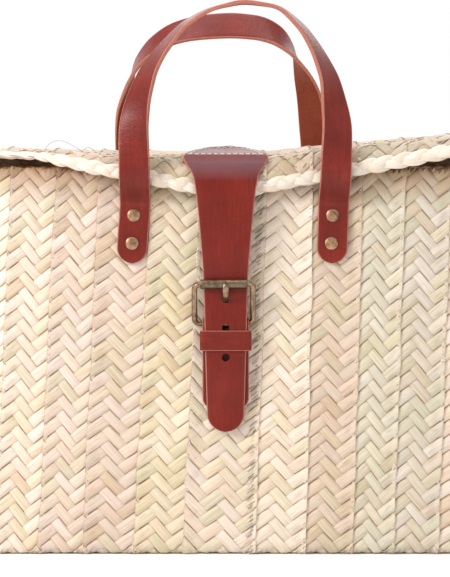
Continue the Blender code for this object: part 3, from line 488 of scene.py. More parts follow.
def weave(bag, columns, ulo, uhi, v0, v1, q, place, base, seed, inner=False, lift=(0.0, 0.0), keep=None, na=8, nb=6, top=2.1, ext=0.24):
    """Floats of a herringbone plait. U runs across in strip units, V up; place(f, v, h) gives points in mm."""
    rng = np.random.default_rng(seed)
    s = np.concatenate([[0, 0.07, 0.16], np.linspace(0.28, 0.72, na - 6), [0.84, 0.93, 1.0]]) if na > 6 else np.linspace(0, 1, na)
    t = np.array([0.0, 0.10, 0.36, 0.64, 0.90, 1.0]) if nb == 6 else np.linspace(0, 1, nb)
    na = len(s)
    span = (v1 - v0) / q
    shade = {key: rand_tint(rng, base, int(span) + 60) for key in ("/", "\\")}
    for c in columns:
        slash = (c // 2) % 2 == 0
        lo_cut, hi_cut = c == columns[0], c == columns[-1]
        j = np.arange(-int(span / 2) - 14, 8)
        count = len(j)
        g = 0.022
        tt = g + (1 - 2 * g) * t
        if slash:
            b = j[:, None, None] + tt[None, None, :]
            lo = (b + ulo) if lo_cut else j[:, None, None] + c - ext + 0 * b
            hi = (b + uhi) if hi_cut else j[:, None, None] + c + 2 + ext + 0 * b
            a = lo + (hi - lo) * s[None, :, None]
            along, start, stop = a, j[:, None, None] + c, j[:, None, None] + c + 2
            from_start, from_stop = along - start, stop - along
            cut_start, cut_stop = lo_cut, hi_cut
        else:
            a = j[:, None, None] + tt[None, None, :]
            lo = (a - uhi) if hi_cut else j[:, None, None] - c - 1 - ext + 0 * a
            hi = (a - ulo) if lo_cut else j[:, None, None] - c + 1 + ext + 0 * a
            b = lo + (hi - lo) * s[None, :, None]
            along, start, stop = b, j[:, None, None] - c - 1, j[:, None, None] - c + 1
            from_start, from_stop = along - start, stop - along
            cut_start, cut_stop = hi_cut, lo_cut
        a, b = np.broadcast_arrays(a, b)
        dip = np.zeros(a.shape)
        if not cut_start:
            dip = dip + smooth01((0.30 - from_start) / 0.52)
        if not cut_stop:
            dip = dip + smooth01((0.30 - from_stop) / 0.52)
        across = (tt - 0.5)[None, None, :]
        h = top - 1.35 * np.minimum(dip, 1.0) - 0.85 * np.abs(2 * t - 1)[None, None, :] ** 5 * np.ones_like(a)
        h = h + rng.uniform(-0.34, 0.34, (count, 1, 1)) * across + rng.uniform(-0.16, 0.16, (count, 1, 1))
        # creases along the folded leaf
        h = h + rng.uniform(-0.13, 0.13, (count, 1, len(t))) + 0.18 * np.sin(np.pi * s)[None, :, None] * np.sin(np.pi * t)[None, None, :]
        u, v = a - b, a + b
        turn = rng.uniform(-0.035, 0.035, (count, 1, 1))
        uc, vc = u.mean(axis=(1, 2), keepdims=True), v.mean(axis=(1, 2), keepdims=True)
        loose = np.minimum(np.minimum(u - ulo, uhi - u) * 1.5, 1.0)
        u = u + loose * (-(v - vc) * turn + rng.uniform(-0.03, 0.03, (count, 1, 1)))
        v = v + (u - uc) * turn + rng.uniform(-0.03, 0.03, (count, 1, 1))
        vm = v0 + (6.0 - (v - 0.19 * u)) * q
        mid = vm.mean(axis=(1, 2))
        ok = (mid > v0 - 0.8 * q) & (mid < v1 + 0.8 * q)
        if keep is not None:
            ok &= keep(mid)
        if not ok.any():
            continue
        vm = np.clip(vm, v0, v1)
        colour = shade["/" if slash else "\\"][np.abs(j) % len(shade["/"])] * rng.uniform(0.97, 1.03, (count, 1))
        sel = np.nonzero(ok)[0]
        u, vm, h = u[sel], vm[sel], h[sel]
        u_full = (u - ulo) / (uhi - ulo)
        for side, amount in ((0, lift[0]), (1, lift[1])):
            if amount:
                near = (u - ulo) if side == 0 else (uhi - u)
                h = h + amount * smooth01(1 - near / 1.1)
        h = np.maximum(h, 0.5)
        count = len(sel)
        size = 2.0
        low = np.full((count, na, 2), 0.35)
        uf = np.concatenate([u_full.reshape(count, -1), u_full[:, :, [0, -1]].reshape(count, -1)], axis=1)
        vf = np.concatenate([vm.reshape(count, -1), vm[:, :, [0, -1]].reshape(count, -1)], axis=1)
        hf = np.concatenate([h.reshape(count, -1), low.reshape(count, -1)], axis=1)
        sign = -1.0 if inner else 1.0
        points = place(uf.ravel(), vf.ravel(), sign * hf.ravel())
        m = len(t)
        grid = np.arange(na * m).reshape(na, m)
        under = na * m + np.arange(na * 2).reshape(na, 2)
        q_top = np.stack([grid[:-1, :-1], grid[1:, :-1], grid[1:, 1:], grid[:-1, 1:]], axis=2).reshape(-1, 4)
        q_low = np.stack([under[:-1, 0], under[:-1, 1], under[1:, 1], under[1:, 0]], axis=1)
        q_a = np.stack([grid[:-1, 0], under[:-1, 0], under[1:, 0], grid[1:, 0]], axis=1)
        q_b = np.stack([grid[:-1, -1], grid[1:, -1], under[1:, 1], under[:-1, 1]], axis=1)
        one_q = np.concatenate([q_top, q_low, q_a, q_b])
        fans = []
        for row, turnover in ((0, False), (na - 1, True)):
            line = [under[row, 0], *grid[row], under[row, 1]]
            for k in range(1, len(line) - 1):
                fans.append((line[0], line[k], line[k + 1]) if not turnover else (line[0], line[k + 1], line[k]))
        one_t = np.array(fans)
        flip = (not slash) != inner
        if flip:
            one_q, one_t = one_q[:, ::-1], one_t[:, ::-1]
        per = na * m + na * 2
        shift = (np.arange(count) * per)[:, None, None]
        quads = (one_q[None] + shift).reshape(-1, 4)
        tris = (one_t[None] + shift).reshape(-1, 3)
        length = 1.414 * q * 2
        gs = np.broadcast_to((s * length)[:, None], (na, m))
        gt = np.broadcast_to((t * 1.414 * q)[None, :], (na, m))
        one_g = np.concatenate([gs.reshape(-1), gs[:, [0, -1]].reshape(-1)]), np.concatenate([gt.reshape(-1), gt[:, [0, -1]].reshape(-1)])
        offset = rng.uniform(0, 900, (count, 3))
        grain = np.stack(
            [one_g[0][None] + offset[:, :1], one_g[1][None] + offset[:, 1:2], np.broadcast_to(offset[:, 2:], (count, per))], axis=2
        )
        rim = np.abs(2 * t - 1)[None, :] * np.ones((na, 1))
        tip = np.maximum(smooth01((0.12 - s) / 0.12), smooth01((s - 0.88) / 0.12))[:, None]
        rim = np.maximum(rim ** 3, tip)
        one_e = np.concatenate([rim.reshape(-1), np.ones(na * 2)])
        bag.add(
            points, quads, tris, 0, grain,
            np.repeat(colour[sel], per, axis=0),
            np.broadcast_to(one_e[None], (count, per)),
        )


def slab(bag, place, v0, v1, rows, h=0.8, columns=7, tint=(0.33, 0.23, 0.14)):
    """The closed inner layer that the floats lie on, tinted dark brown: painted shade that shows through the gaps in
    place of the shaded strips beneath.
    """
    u = np.linspace(0, 1, columns)
    v = np.linspace(v0, v1, rows)
    uu, vv = np.meshgrid(u, v)
    a = place(uu.ravel(), vv.ravel(), np.full(uu.size, h))
    b = place(uu.ravel(), vv.ravel(), np.full(uu.size, -h))
    grid = np.arange(rows * columns).reshape(rows, columns)
    back = grid + rows * columns
    quads = [
        np.stack([grid[:-1, :-1], grid[1:, :-1], grid[1:, 1:], grid[:-1, 1:]], axis=2).reshape(-1, 4),
        np.stack([back[:-1, :-1], back[:-1, 1:], back[1:, 1:], back[1:, :-1]], axis=2).reshape(-1, 4),
        np.stack([grid[:-1, 0], back[:-1, 0], back[1:, 0], grid[1:, 0]], axis=1),
        np.stack([grid[:-1, -1], grid[1:, -1], back[1:, -1], back[:-1, -1]], axis=1),
        np.stack([grid[0, :-1], grid[0, 1:], back[0, 1:], back[0, :-1]], axis=1),
        np.stack([grid[-1, :-1], back[-1, :-1], back[-1, 1:], grid[-1, 1:]], axis=1),
    ]
    bag.add(np.concatenate([a, b]), np.concatenate(quads), (), 0, None, tint, np.zeros(2 * len(a)))


def selvedge(bag, place_mm, line_v, where, seed, base, half=1.55, low=1.15, high=2.75, stitches=True, every=5.6, mirror=1.0):
    """The turned edge of a plait that lies on its neighbour: small leaf folds slanting over each other, sewn down with thread."""
    rng = np.random.default_rng(seed)
    steps = max(int((line_v[1] - line_v[0]) / 0.75), 8)
    v = np.linspace(line_v[0], line_v[1], steps)
    knots = max(steps // 18, 3)
    slow = lambda lo, hi: np.interp(v, np.linspace(line_v[0], line_v[1], knots), rng.uniform(lo, hi, knots))
    sway, wide, tall = slow(-0.55, 0.55), half * slow(0.75, 1.2), slow(-0.3, 0.3)
    pitch = slow(2.7, 3.3)
    phase = np.cumsum(np.gradient(v) / pitch)
    outline = ((-1.0, 0.0), (-0.97, 0.5), (-0.6, 0.88), (-0.1, 1.0), (0.4, 0.95), (0.8, 0.7), (1.0, 0.3), (1.02, 0.0))
    rings, shade = [], []
    for x, y in outline:
        saw = np.abs(((phase + mirror * 0.42 * x) % 1.0) * 2 - 1)
        fold = np.clip(saw * 1.7, 0, 1) ** 0.6
        rings.append(place_mm(where + sway + x * wide, v, low + (high - low + tall) * y * (0.62 + 0.38 * fold)))
        shade.append(fold)
    points = np.stack(rings, axis=1)
    count = len(outline)
    quads, tris = rings_faces(steps, count)
    shade = np.stack(shade, axis=1)
    run = np.broadcast_to(v[:, None], (steps, count)) + 2.0 * np.array([o[0] for o in outline])[None]
    over = np.broadcast_to(np.array([o[0] * half for o in outline])[None], (steps, count)) + 0.9 * phase[:, None]
    grain = np.stack([run, over, np.full(run.shape, rng.uniform(0, 500))], axis=2)
    strip = np.floor(phase + 0.5).astype(int)
    tone = rng.uniform(0.90, 1.06, strip.max() + 2)[strip]
    # each fold is painted darker where it dips low between its neighbours: painted shade in the hollows, over each
    # strip's random tone
    dark = (0.50 + 0.50 * shade)[:, :, None] * tone[:, None, None] * np.asarray(base)[None, None]
    dark = dark * np.array((1.0, 0.97, 0.96))
    bag.add(points, quads, tris, 0, grain, np.clip(dark, 0, 0.94), 0.3 + 0.6 * (1 - shade))
    if not stitches:
        return
    v = line_v[0] + 3.0
    while v < line_v[1] - 6:
        v += every * rng.uniform(0.7, 1.3)
        lean = rng.uniform(1.2, 2.4)
        s = np.linspace(-1, 1, 7)
        u_line = where + s * (half + 0.5)
        h_line = low - 0.9 + (high - low + 1.0) * np.cos(s * 0.5 * np.pi) ** 0.55
        path = place_mm(u_line, v + mirror * lean * s, h_line)
        tube(bag, path, rng.uniform(0.20, 0.33), 6, mat=1)


def slivers(bag, place_mm, line_v, lo, hi, every, slope, seed, tint, radius, h=2.0, share=0.75, up=(0.0, -1.0, 0.0)):
    """Thin split leaf edges that slant away from a seam, each lying between two strips."""
    rng = np.random.default_rng(seed)
    v = line_v[0]
    while v < line_v[1]:
        v += every * rng.uniform(0.6, 1.4)
        if rng.random() > share:
            continue
        a, b = lo + rng.uniform(0, 0.35) * (hi - lo), hi - rng.uniform(0, 0.5) * (hi - lo)
        s = np.linspace(0, 1, 6)
        u = a + (b - a) * s
        along = v - slope * (u - a) * rng.uniform(0.9, 1.1)
        if along.min() < line_v[0] or along.max() > line_v[1]:
            continue
        path = place_mm(u, along, h + 0.8 - 0.9 * s - 0.8 * np.abs(2 * s - 1) ** 3)
        tube(bag, path, radius * rng.uniform(0.7, 1.2) * (0.3 + 0.7 * np.sin(np.pi * (0.08 + 0.84 * s))), 5, tint=tuple(c * rng.uniform(0.85, 1.15) for c in tint), flat=0.55, up=up)


CREAM, IVORY, PINK, PINK2 = (0.61, 0.495, 0.41), (0.62, 0.505, 0.41), (0.59, 0.46, 0.375), (0.555, 0.43, 0.345)
YELLOW, GREEN, GREY, CENTRE = (0.60, 0.485, 0.355), (0.535, 0.465, 0.365), (0.52, 0.44, 0.355), (0.60, 0.48, 0.39)
BAND_TINT = {
    -5: (0.683, 0.632, 0.55),
    -4: (0.626, 0.525, 0.439),
    -3: (0.584, 0.478, 0.409),
    -2: (0.549, 0.443, 0.369),
    -1: (0.582, 0.495, 0.376),
    0: (0.594, 0.499, 0.417),
    1: (0.616, 0.525, 0.435),
    2: (0.516, 0.413, 0.331),
    3: (0.511, 0.465, 0.372),
    4: (0.51, 0.453, 0.383),
    5: (0.604, 0.51, 0.43),
}
SELVEDGE = (0.61, 0.50, 0.40)


def word_of(k):
    return "centre" if k == 0 else ("left_%d" % -k if k < 0 else "right_%d" % k)


def table_of(points):
    """Arc length, points and normals of a path in (y, z)."""
    points = np.array(points, float)
    run = np.concatenate([[0], np.cumsum(np.linalg.norm(np.diff(points, axis=0), axis=1))])
    t = np.gradient(points, axis=0)
    t /= np.linalg.norm(t, axis=1, keepdims=True)
    return run, points, np.stack([t[:, 1], -t[:, 0]], axis=1)


LIP = ((-1.9, 277.5), (-1.9, 279.6), (-1.3, 281.6), (-0.3, 282.4), (0.8, 282.0), (1.4, 280.6), (1.1, 278.8), (0.4, 277.4))


def body_path():
    wall = half_depth(HEIGHT) - 2.0
    down = [(-(wall + o), z) for o, z in LIP] + [(-(half_depth(z) - 2.0), z) for z in np.linspace(HEIGHT - 3.0, FLOOR_ROUND, 40)]
    for a in np.linspace(0, 0.5 * np.pi, 13)[1:]:
        d, z = FLOOR_ROUND - (FLOOR_ROUND - 2) * math.cos(a), FLOOR_ROUND - (FLOOR_ROUND - 2) * math.sin(a)
        down.append((-(half_depth(z) - d), z))
    floor = [(y, 2.0) for y in np.linspace(down[-1][0], -down[-1][0], 24)[1:-1]]
    return down + floor + [(-y, z) for y, z in reversed(down)]


def build_body():
    run, points, normals = table_of(body_path())
    total = run[-1]
    first = len(LIP) + 39
    v_bottom = run[first] + 18.0
    v_over = run[first + 12]
    v_back = total - run[first + 12]
    cad = np.array([-CENTRE_BAND_HALF - BAND * k for k in range(5, -1, -1)] + [CENTRE_BAND_HALF + BAND * k for k in range(6)])
    high = np.array([-197, -159.1, -125.6, -94.9, -55.5, -19.0, 26.3, 60.6, 96.4, 127.8, 161.3, 197])
    low = np.array([-197, -170.8, -139.4, -106.2, -69.4, -33.6, 17.5, 54.4, 89.1, 119.4, 151.8, 197])
    rate = (low - high) / 255.6
    stations = [0.0, v_bottom, v_over, v_back, total]
    bends = np.array([high - rate * 17.5, low, low, 0.5 * (low + cad), cad])
    rng = np.random.default_rng(5)
    wob_v = np.linspace(0, total, 30)
    wobble = rng.uniform(-0.7, 0.7, (30, 12))
    wobble[:, 0] = wobble[:, -1] = 0

    def edges_at(v):
        return np.stack([np.interp(v, stations, bends[:, k]) + np.interp(v, wob_v, wobble[:, k]) for k in range(12)])

    def shell(x, v, h):
        y, z = np.interp(v, run, points[:, 0]), np.interp(v, run, points[:, 1])
        ny, nz = np.interp(v, run, normals[:, 0]), np.interp(v, run, normals[:, 1])
        size = np.hypot(ny, nz)
        return np.stack([x, y + h * ny / size, z + h * nz / size], axis=1)

    for k in range(11):
        number = k - 5
        nine = number == 0
        columns = [-2, 0, 2, 4] if nine else [0, 2, 4]
        ulo, uhi = (-2.5, 5.5) if nine else (-0.5, 5.5)
        bag = Bag()
        over_left, over_right = number <= 0, number >= 0
        grow = (1.7 if over_left else 0.0, 1.7 if over_right else 0.0)

        def place(f, v, h, k=k, grow=grow):
            e = edges_at(v)
            left, right = e[k] - grow[0], e[k + 1] + grow[1]
            if k == 0:
                left = e[k] + 0.2
            if k == 10:
                right = e[k + 1] - 0.2
            return shell(left + np.clip(f, 0, 1) * (right - left), v, h)

        slab(bag, place, 0.0, total, 130, 0.7)
        q = 5.65 if not nine else 5.85
        lift = (1.15 if over_left and k > 0 else 0.0, 1.15 if over_right and k < 10 else 0.0)
        weave(bag, columns, ulo, uhi, 0.0, total, q, place, BAND_TINT[number], 100 + k, False, lift, na=9)
        weave(bag, columns, ulo, uhi, 0.0, total, q, place, tuple(0.93 * c for c in BAND_TINT[number]), 300 + k, True, na=6, nb=4, top=1.9)
        for which, on in ((0, over_left and k > 0), (1, over_right and k < 10)):
            if on:
                def edge_mm(u, v, h, k=k, which=which, grow=grow):
                    e = edges_at(v)
                    x = e[k + which] + (-grow[0] if which == 0 else grow[1])
                    return shell(x + (u if which == 0 else -u), v, h)
                flip = which == 1
                selvedge(bag, edge_mm, (1.0, total - 1.0), 1.3, 700 + 2 * k + which, SELVEDGE)
                reach = (run[len(LIP)] + 2.0, total - run[len(LIP)] - 2.0)
                if nine and which == 1:
                    # the dark slivers are painted shade for the shaded gaps along this seam; the pale ones are split
                    # leaf edges
                    slivers(bag, edge_mm, reach, 1.2, 8.5, 2.7, -0.85, 1500, (0.235, 0.175, 0.125), 0.36, h=2.9, share=0.8)
                    slivers(bag, edge_mm, reach, 2.0, 9.5, 3.9, -0.85, 1501, (0.60, 0.50, 0.40), 0.40, h=3.0)
                else:
                    slivers(bag, edge_mm, reach, 2.6, 11.0, 2.3, 0.8 if which == 0 else -0.8, 1520 + 2 * k + which, (0.40, 0.295, 0.225), 0.14, h=3.0, share=0.4)
        piece = bag.make("weave_body_" + word_of(number), [WALLSTRAW, SEAM_THREAD], 40)
        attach(piece, "basket")
        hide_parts("body_band_" + word_of(number))


def build_sides():
    down = [(2.0 - o, z) for o, z in LIP] + [(2.0, z) for z in np.linspace(HEIGHT - 3.0, FLOOR_ROUND, 40)]
    for a in np.linspace(0, 0.5 * np.pi, 13)[1:]:
        down.append((FLOOR_ROUND - (FLOOR_ROUND - 2) * math.cos(a), FLOOR_ROUND - (FLOOR_ROUND - 2) * math.sin(a)))
    down += [(d, 2.0) for d in np.linspace(FLOOR_ROUND, 21.6, 6)[1:]]
    run, points, normals = table_of([(d, z) for d, z in down])
    total = run[-1]
    for word, sign in (("left", -1), ("right", 1)):
        bag = Bag()
        for band in range(5):
            def place(f, v, h, band=band, sign=sign):
                w = (band + f) / 5.0
                if sign < 0:
                    w = 1 - w
                d = np.interp(v, run, points[:, 0]) + h * np.interp(v, run, normals[:, 0])
                z = np.interp(v, run, points[:, 1]) + h * np.interp(v, run, normals[:, 1])
                y = half_depth(z) - CORNER_ROUND
                arc = 0.5 * np.pi * 20.0
                length = 2 * arc + 2 * y
                p = w * length
                r = np.maximum(CORNER_ROUND - d, 0.0)
                on_front, on_back = p < arc, p > arc + 2 * y
                a = np.where(on_front, -0.5 * np.pi + p / 20.0, np.where(on_back, (p - arc - 2 * y) / 20.0, 0.0))
                x = CORNER_X + np.where(on_front | on_back, r * np.cos(a), CORNER_ROUND - d)
                yy = np.where(on_front, -y + r * np.sin(a), np.where(on_back, y + r * np.sin(a), -y + (p - arc)))
                return np.stack([sign * x, yy, z], axis=1)

            tints = (PINK2, YELLOW, CREAM, GREEN, IVORY)
            slab(bag, place, 0.0, total, 60, 0.7)
            last = (sign > 0 and band < 4) or (sign < 0 and band > 0)
            lift = (0.0, 1.0) if sign > 0 and band < 4 else ((1.0, 0.0) if sign < 0 and band > 0 else (0.0, 0.0))
            weave(bag, [0, 2, 4], -0.5, 5.5, 0.0, total, 5.4, place, tints[band], 500 + band + 10 * (sign > 0), False, lift, na=9)
            weave(bag, [0, 2, 4], -0.5, 5.5, 0.0, total, 5.4, place, tuple(0.93 * c for c in tints[band]), 560 + band + 10 * (sign > 0), True, na=6, nb=4, top=1.9)
            if last:
                def edge_mm(u, v, h, place=place, sign=sign):
                    f = (1 + 0.006 - u / 33.0) if sign > 0 else (-0.006 + u / 33.0)
                    return place(f, v, h)
                selvedge(bag, edge_mm, (1.0, total - 6.0), 1.3, 800 + band, SELVEDGE)
        piece = bag.make("weave_side_" + word, [WALLSTRAW, SEAM_THREAD], 40)
        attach(piece, "basket")
        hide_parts("side_panel_" + word)


# ------------------------------------------------------------------ the flap
def rise(x):
    x = np.asarray(x, float)
    right = RISE_RIGHT * np.minimum(np.maximum(x - 31, 0) / 131, 1.1) ** 0.8
    left = RISE_LEFT * np.minimum(np.maximum(-x - 30, 0) / 135, 1.1) ** 1.5
    return np.where(x > 31, right, np.where(x < -30, left, 0.0))


def flap_at(x, s):
    """Middle of the flap's weave (y, z) and its upward normal, for arrays."""
    x, s = np.asarray(x, float), np.asarray(s, float)
    top = FLAP_BACK_Y - FLAP_BEND_Y
    front = FLAP_FRONT_Z + rise(x)
    bulge = FLAP_DOME + 0.25 * rise(x)
    quarter = 0.5 * np.pi * FLAP_BEND_R
    t = np.clip(s / top, 0, 1)
    z_top = FLAP_BACK_Z + (front - FLAP_BACK_Z) * t + 4 * bulge * t * (1 - t)
    z_top = z_top + 1.0 * np.exp(-(((s - top + 26.0) / 16.0) ** 2)) * np.exp(-((x / 42.0) ** 4))
    slope = (front - FLAP_BACK_Z + 4 * bulge * (1 - 2 * t)) / top
    size = np.sqrt(1 + slope * slope)
    centre = front - FLAP_BEND_R
    a = np.clip((s - top) / FLAP_BEND_R, 0, 0.5 * np.pi)
    on_top, on_bend = s <= top, s <= top + quarter
    y = np.where(on_top, FLAP_BACK_Y - s, FLAP_BEND_Y - FLAP_BEND_R * np.sin(a))
    z = np.where(on_top, z_top, centre + FLAP_BEND_R * np.cos(a) - np.maximum(s - top - quarter, 0))
    ny = np.where(on_top, slope / size, -np.sin(a))
    nz = np.where(on_top, 1 / size, np.cos(a))
    return y, z, ny, nz


def rim_reach(x):
    x = np.asarray(x, float)
    top = FLAP_BACK_Y - FLAP_BEND_Y
    quarter = 0.5 * np.pi * FLAP_BEND_R
    z = FLAP_RIM_LOW + FLAP_RIM_CLIMB * np.maximum(np.abs(x) - 20, 0) / 145
    centre = FLAP_FRONT_Z + rise(x) - FLAP_BEND_R
    return np.where(z <= centre, top + quarter + centre - z, top + FLAP_BEND_R * np.arccos(np.clip((z - centre) / FLAP_BEND_R, -1, 1)))


def weave_reach(x):
    x = np.asarray(x, float)
    inset = FLAP_RIM_R - 1.2
    part = np.clip((np.abs(x) - FLAP_CORNER_X) / (FLAP_HALF - inset - FLAP_CORNER_X), 0, 1)
    edge = rim_reach(np.clip(x, -FLAP_CORNER_X, FLAP_CORNER_X)) - inset
    return edge - (FLAP_CORNER_DEPTH - inset) * (1 - np.sqrt(1 - part * part))


HINGE_START = 12.0


def hinge_table():
    """From the hem's lower edge on the back wall, up and over to the flap's weave."""
    key = [(66.65, 266.0), (66.75, 272.0), (67.0, 278.0), (67.4, 283.0), (67.0, 286.2), (65.2, 288.6), (62.0, 290.0), (58.0, 290.55)]
    y, z, _, _ = flap_at(0.0, HINGE_START)
    key.append((float(y), float(z)))
    key = np.array(key)
    run = np.concatenate([[0], np.cumsum(np.linalg.norm(np.diff(key, axis=0), axis=1))])
    fine = np.linspace(0, run[-1], 60)
    path = np.stack([np.interp(fine, run, key[:, 0]), np.interp(fine, run, key[:, 1])], axis=1)
    for _ in range(14):
        path[1:-1] = 0.25 * path[:-2] + 0.5 * path[1:-1] + 0.25 * path[2:]
    run, points, normals = table_of(path)
    return run, points, -normals * np.sign(np.interp(0, [0, 1], [1, 1]))


H_RUN, H_POINTS, H_NORMALS = hinge_table()
if H_NORMALS[0, 0] < 0:
    H_NORMALS = -H_NORMALS
HINGE_LENGTH = H_RUN[-1]


def flap_shell(x, v, h):
    """v runs from the hem's lower edge over the hinge and along the flap to its rim."""
    s = v - HINGE_LENGTH + HINGE_START
    reach = weave_reach(x)
    squeeze = smooth01((s - reach + 6.0) / 8.0)
    s = np.minimum(s, reach)
    y, z, ny, nz = flap_at(x, np.maximum(s, HINGE_START))
    hy, hz = np.interp(v, H_RUN, H_POINTS[:, 0]), np.interp(v, H_RUN, H_POINTS[:, 1])
    hny, hnz = np.interp(v, H_RUN, H_NORMALS[:, 0]), np.interp(v, H_RUN, H_NORMALS[:, 1])
    size = np.hypot(hny, hnz)
    on_hinge = v < HINGE_LENGTH
    h = h * np.where(on_hinge, 0.82, 1.0 - 0.35 * squeeze)
    yy = np.where(on_hinge, hy + h * hny / size, y + h * ny)
    zz = np.where(on_hinge, hz + h * hnz / size, z + h * nz)
    return np.stack([x, yy, zz], axis=1)


def build_flap():
    cad = [-CENTRE_BAND_HALF - BAND * k for k in range(4, -1, -1)] + [CENTRE_BAND_HALF + BAND * k for k in range(5)]
    outer = FLAP_HALF - FLAP_RIM_R + 1.0
    edges = [-outer] + cad + [outer]
    hinge = Bag()
    for k in range(11):
        number = k - 5
        wide = number in (-5, 0, 5)
        columns = [-2, 0, 2, 4] if wide else [0, 2, 4]
        ulo, uhi = (-2.5, 5.5) if wide else (-0.5, 5.5)
        grow = (1.5 if number <= 0 and k > 0 else 0.0, 1.5 if number >= 0 and k < 10 else 0.0)
        bag = Bag()
        left, right = edges[k] - grow[0], edges[k + 1] + grow[1]

        def place(f, v, h, left=left, right=right):
            x = left + np.clip(f, 0, 1) * (right - left)
            on_hinge = smooth01((HINGE_LENGTH + 6 - v) / 10.0)
            x = np.clip(x, -204.0 - 8 * (1 - on_hinge), 204.0 + 8 * (1 - on_hinge))
            return flap_shell(x, v, h)

        def place_flap(f, v, h, place=place):
            return place(f, np.maximum(v, HINGE_LENGTH - 1.0), h)

        def place_hinge(f, v, h, place=place):
            return place(f, np.minimum(v, HINGE_LENGTH + 1.0), h)

        xs = np.linspace(edges[k], edges[k + 1], 9)
        last = HINGE_LENGTH - HINGE_START + float(weave_reach(xs).max())
        q = 5.9
        lift = (0.9 if grow[0] else 0.0, 0.9 if grow[1] else 0.0)
        # the flap's strips are darker and browner than the wall's: partly the flap's own browner straw, partly painted
        # shade on its upward-facing top
        tint = tuple(c * m for c, m in zip(BAND_TINT[number], (0.725, 0.675, 0.635)))
        slab(bag, place_flap, HINGE_LENGTH - 1.0, last, 44, 0.7)
        slab(hinge, place_hinge, 0.0, HINGE_LENGTH + 1.0, 24, 0.6)
        for inner in (False, True):
            extra = {"na": 9} if not inner else {"na": 6, "nb": 4, "top": 1.9}
            shade = tint if not inner else tuple(0.93 * c for c in tint)
            weave(bag, columns, ulo, uhi, 0.0, last, q, place_flap, shade, 900 + k + 50 * inner, inner, (0, 0) if inner else lift, keep=lambda m: m > HINGE_LENGTH - 3.0, **extra)
            weave(hinge, columns, ulo, uhi, 0.0, last, q, place_hinge, shade, 900 + k + 50 * inner, inner, (0, 0) if inner else lift, keep=lambda m: m <= HINGE_LENGTH - 3.0, **extra)
        for which, on in ((0, grow[0] > 0), (1, grow[1] > 0)):
            if on:
                def edge_mm(u, v, h, which=which, left=left, right=right):
                    return flap_shell((left + u) if which == 0 else (right - u), v, h)
                x = left if which == 0 else right
                reach = HINGE_LENGTH - HINGE_START + float(weave_reach(np.array([x]))[0])
                selvedge(bag, edge_mm, (HINGE_LENGTH, reach - 1.0), 1.3, 950 + 2 * k + which, SELVEDGE, high=2.9)
                selvedge(hinge, edge_mm, (1.0, HINGE_LENGTH), 1.3, 980 + 2 * k + which, SELVEDGE, high=2.6)
        # dark strokes painted as the shade in slits between the strips, and pale lifted leaf ends, along the flap's
        # front
        rng = np.random.default_rng(1700 + k)
        for _ in range(34):
            x0 = rng.uniform(edges[k] + 3, edges[k + 1] - 3)
            far = HINGE_LENGTH - HINGE_START + float(weave_reach(np.array([x0]))[0])
            v0 = far - rng.uniform(4.0, 34.0)
            long, lean = rng.uniform(3.5, 8.5), rng.choice((-1.0, 1.0)) * rng.uniform(0.25, 0.8)
            t = np.linspace(-0.5, 0.5, 7)
            x, v = x0 + long * t * math.cos(lean), v0 + long * t * math.sin(lean) + 0.8 * t * t
            path = flap_shell(x, v, 2.1 - 1.0 * np.abs(2 * t) ** 3)
            dark = rng.random() < 0.6
            shade = (0.22, 0.14, 0.085) if dark else (0.52, 0.40, 0.29)
            tube(bag, path, rng.uniform(0.22, 0.46) * (0.25 + 0.75 * np.cos(np.pi * t * 0.92)), 6, tint=tuple(c * rng.uniform(0.8, 1.2) for c in shade), flat=0.6, up=(0.0, -0.5, 0.85))
        piece = bag.make("weave_flap_" + word_of(number), [STRAW, SEAM_THREAD], 40)
        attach(piece, "flap")
        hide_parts("flap_band_" + word_of(number))
    # the thread that holds the hem to the wall
    rng = np.random.default_rng(77)
    x = -200.0
    while x < 198:
        s = np.linspace(-1, 1, 7)
        path = flap_shell(x + 3.2 * s, 7.0 + 1.6 * s, 0.4 + 2.2 * np.cos(s * 0.5 * np.pi) ** 0.6)
        tube(hinge, path, 0.42, 6, mat=1)
        x += 8.5 * rng.uniform(0.85, 1.2)
    piece = hinge.make("weave_hinge", [STRAW, SEAM_THREAD], 40)
    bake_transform(piece)
    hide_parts("flap_hem")


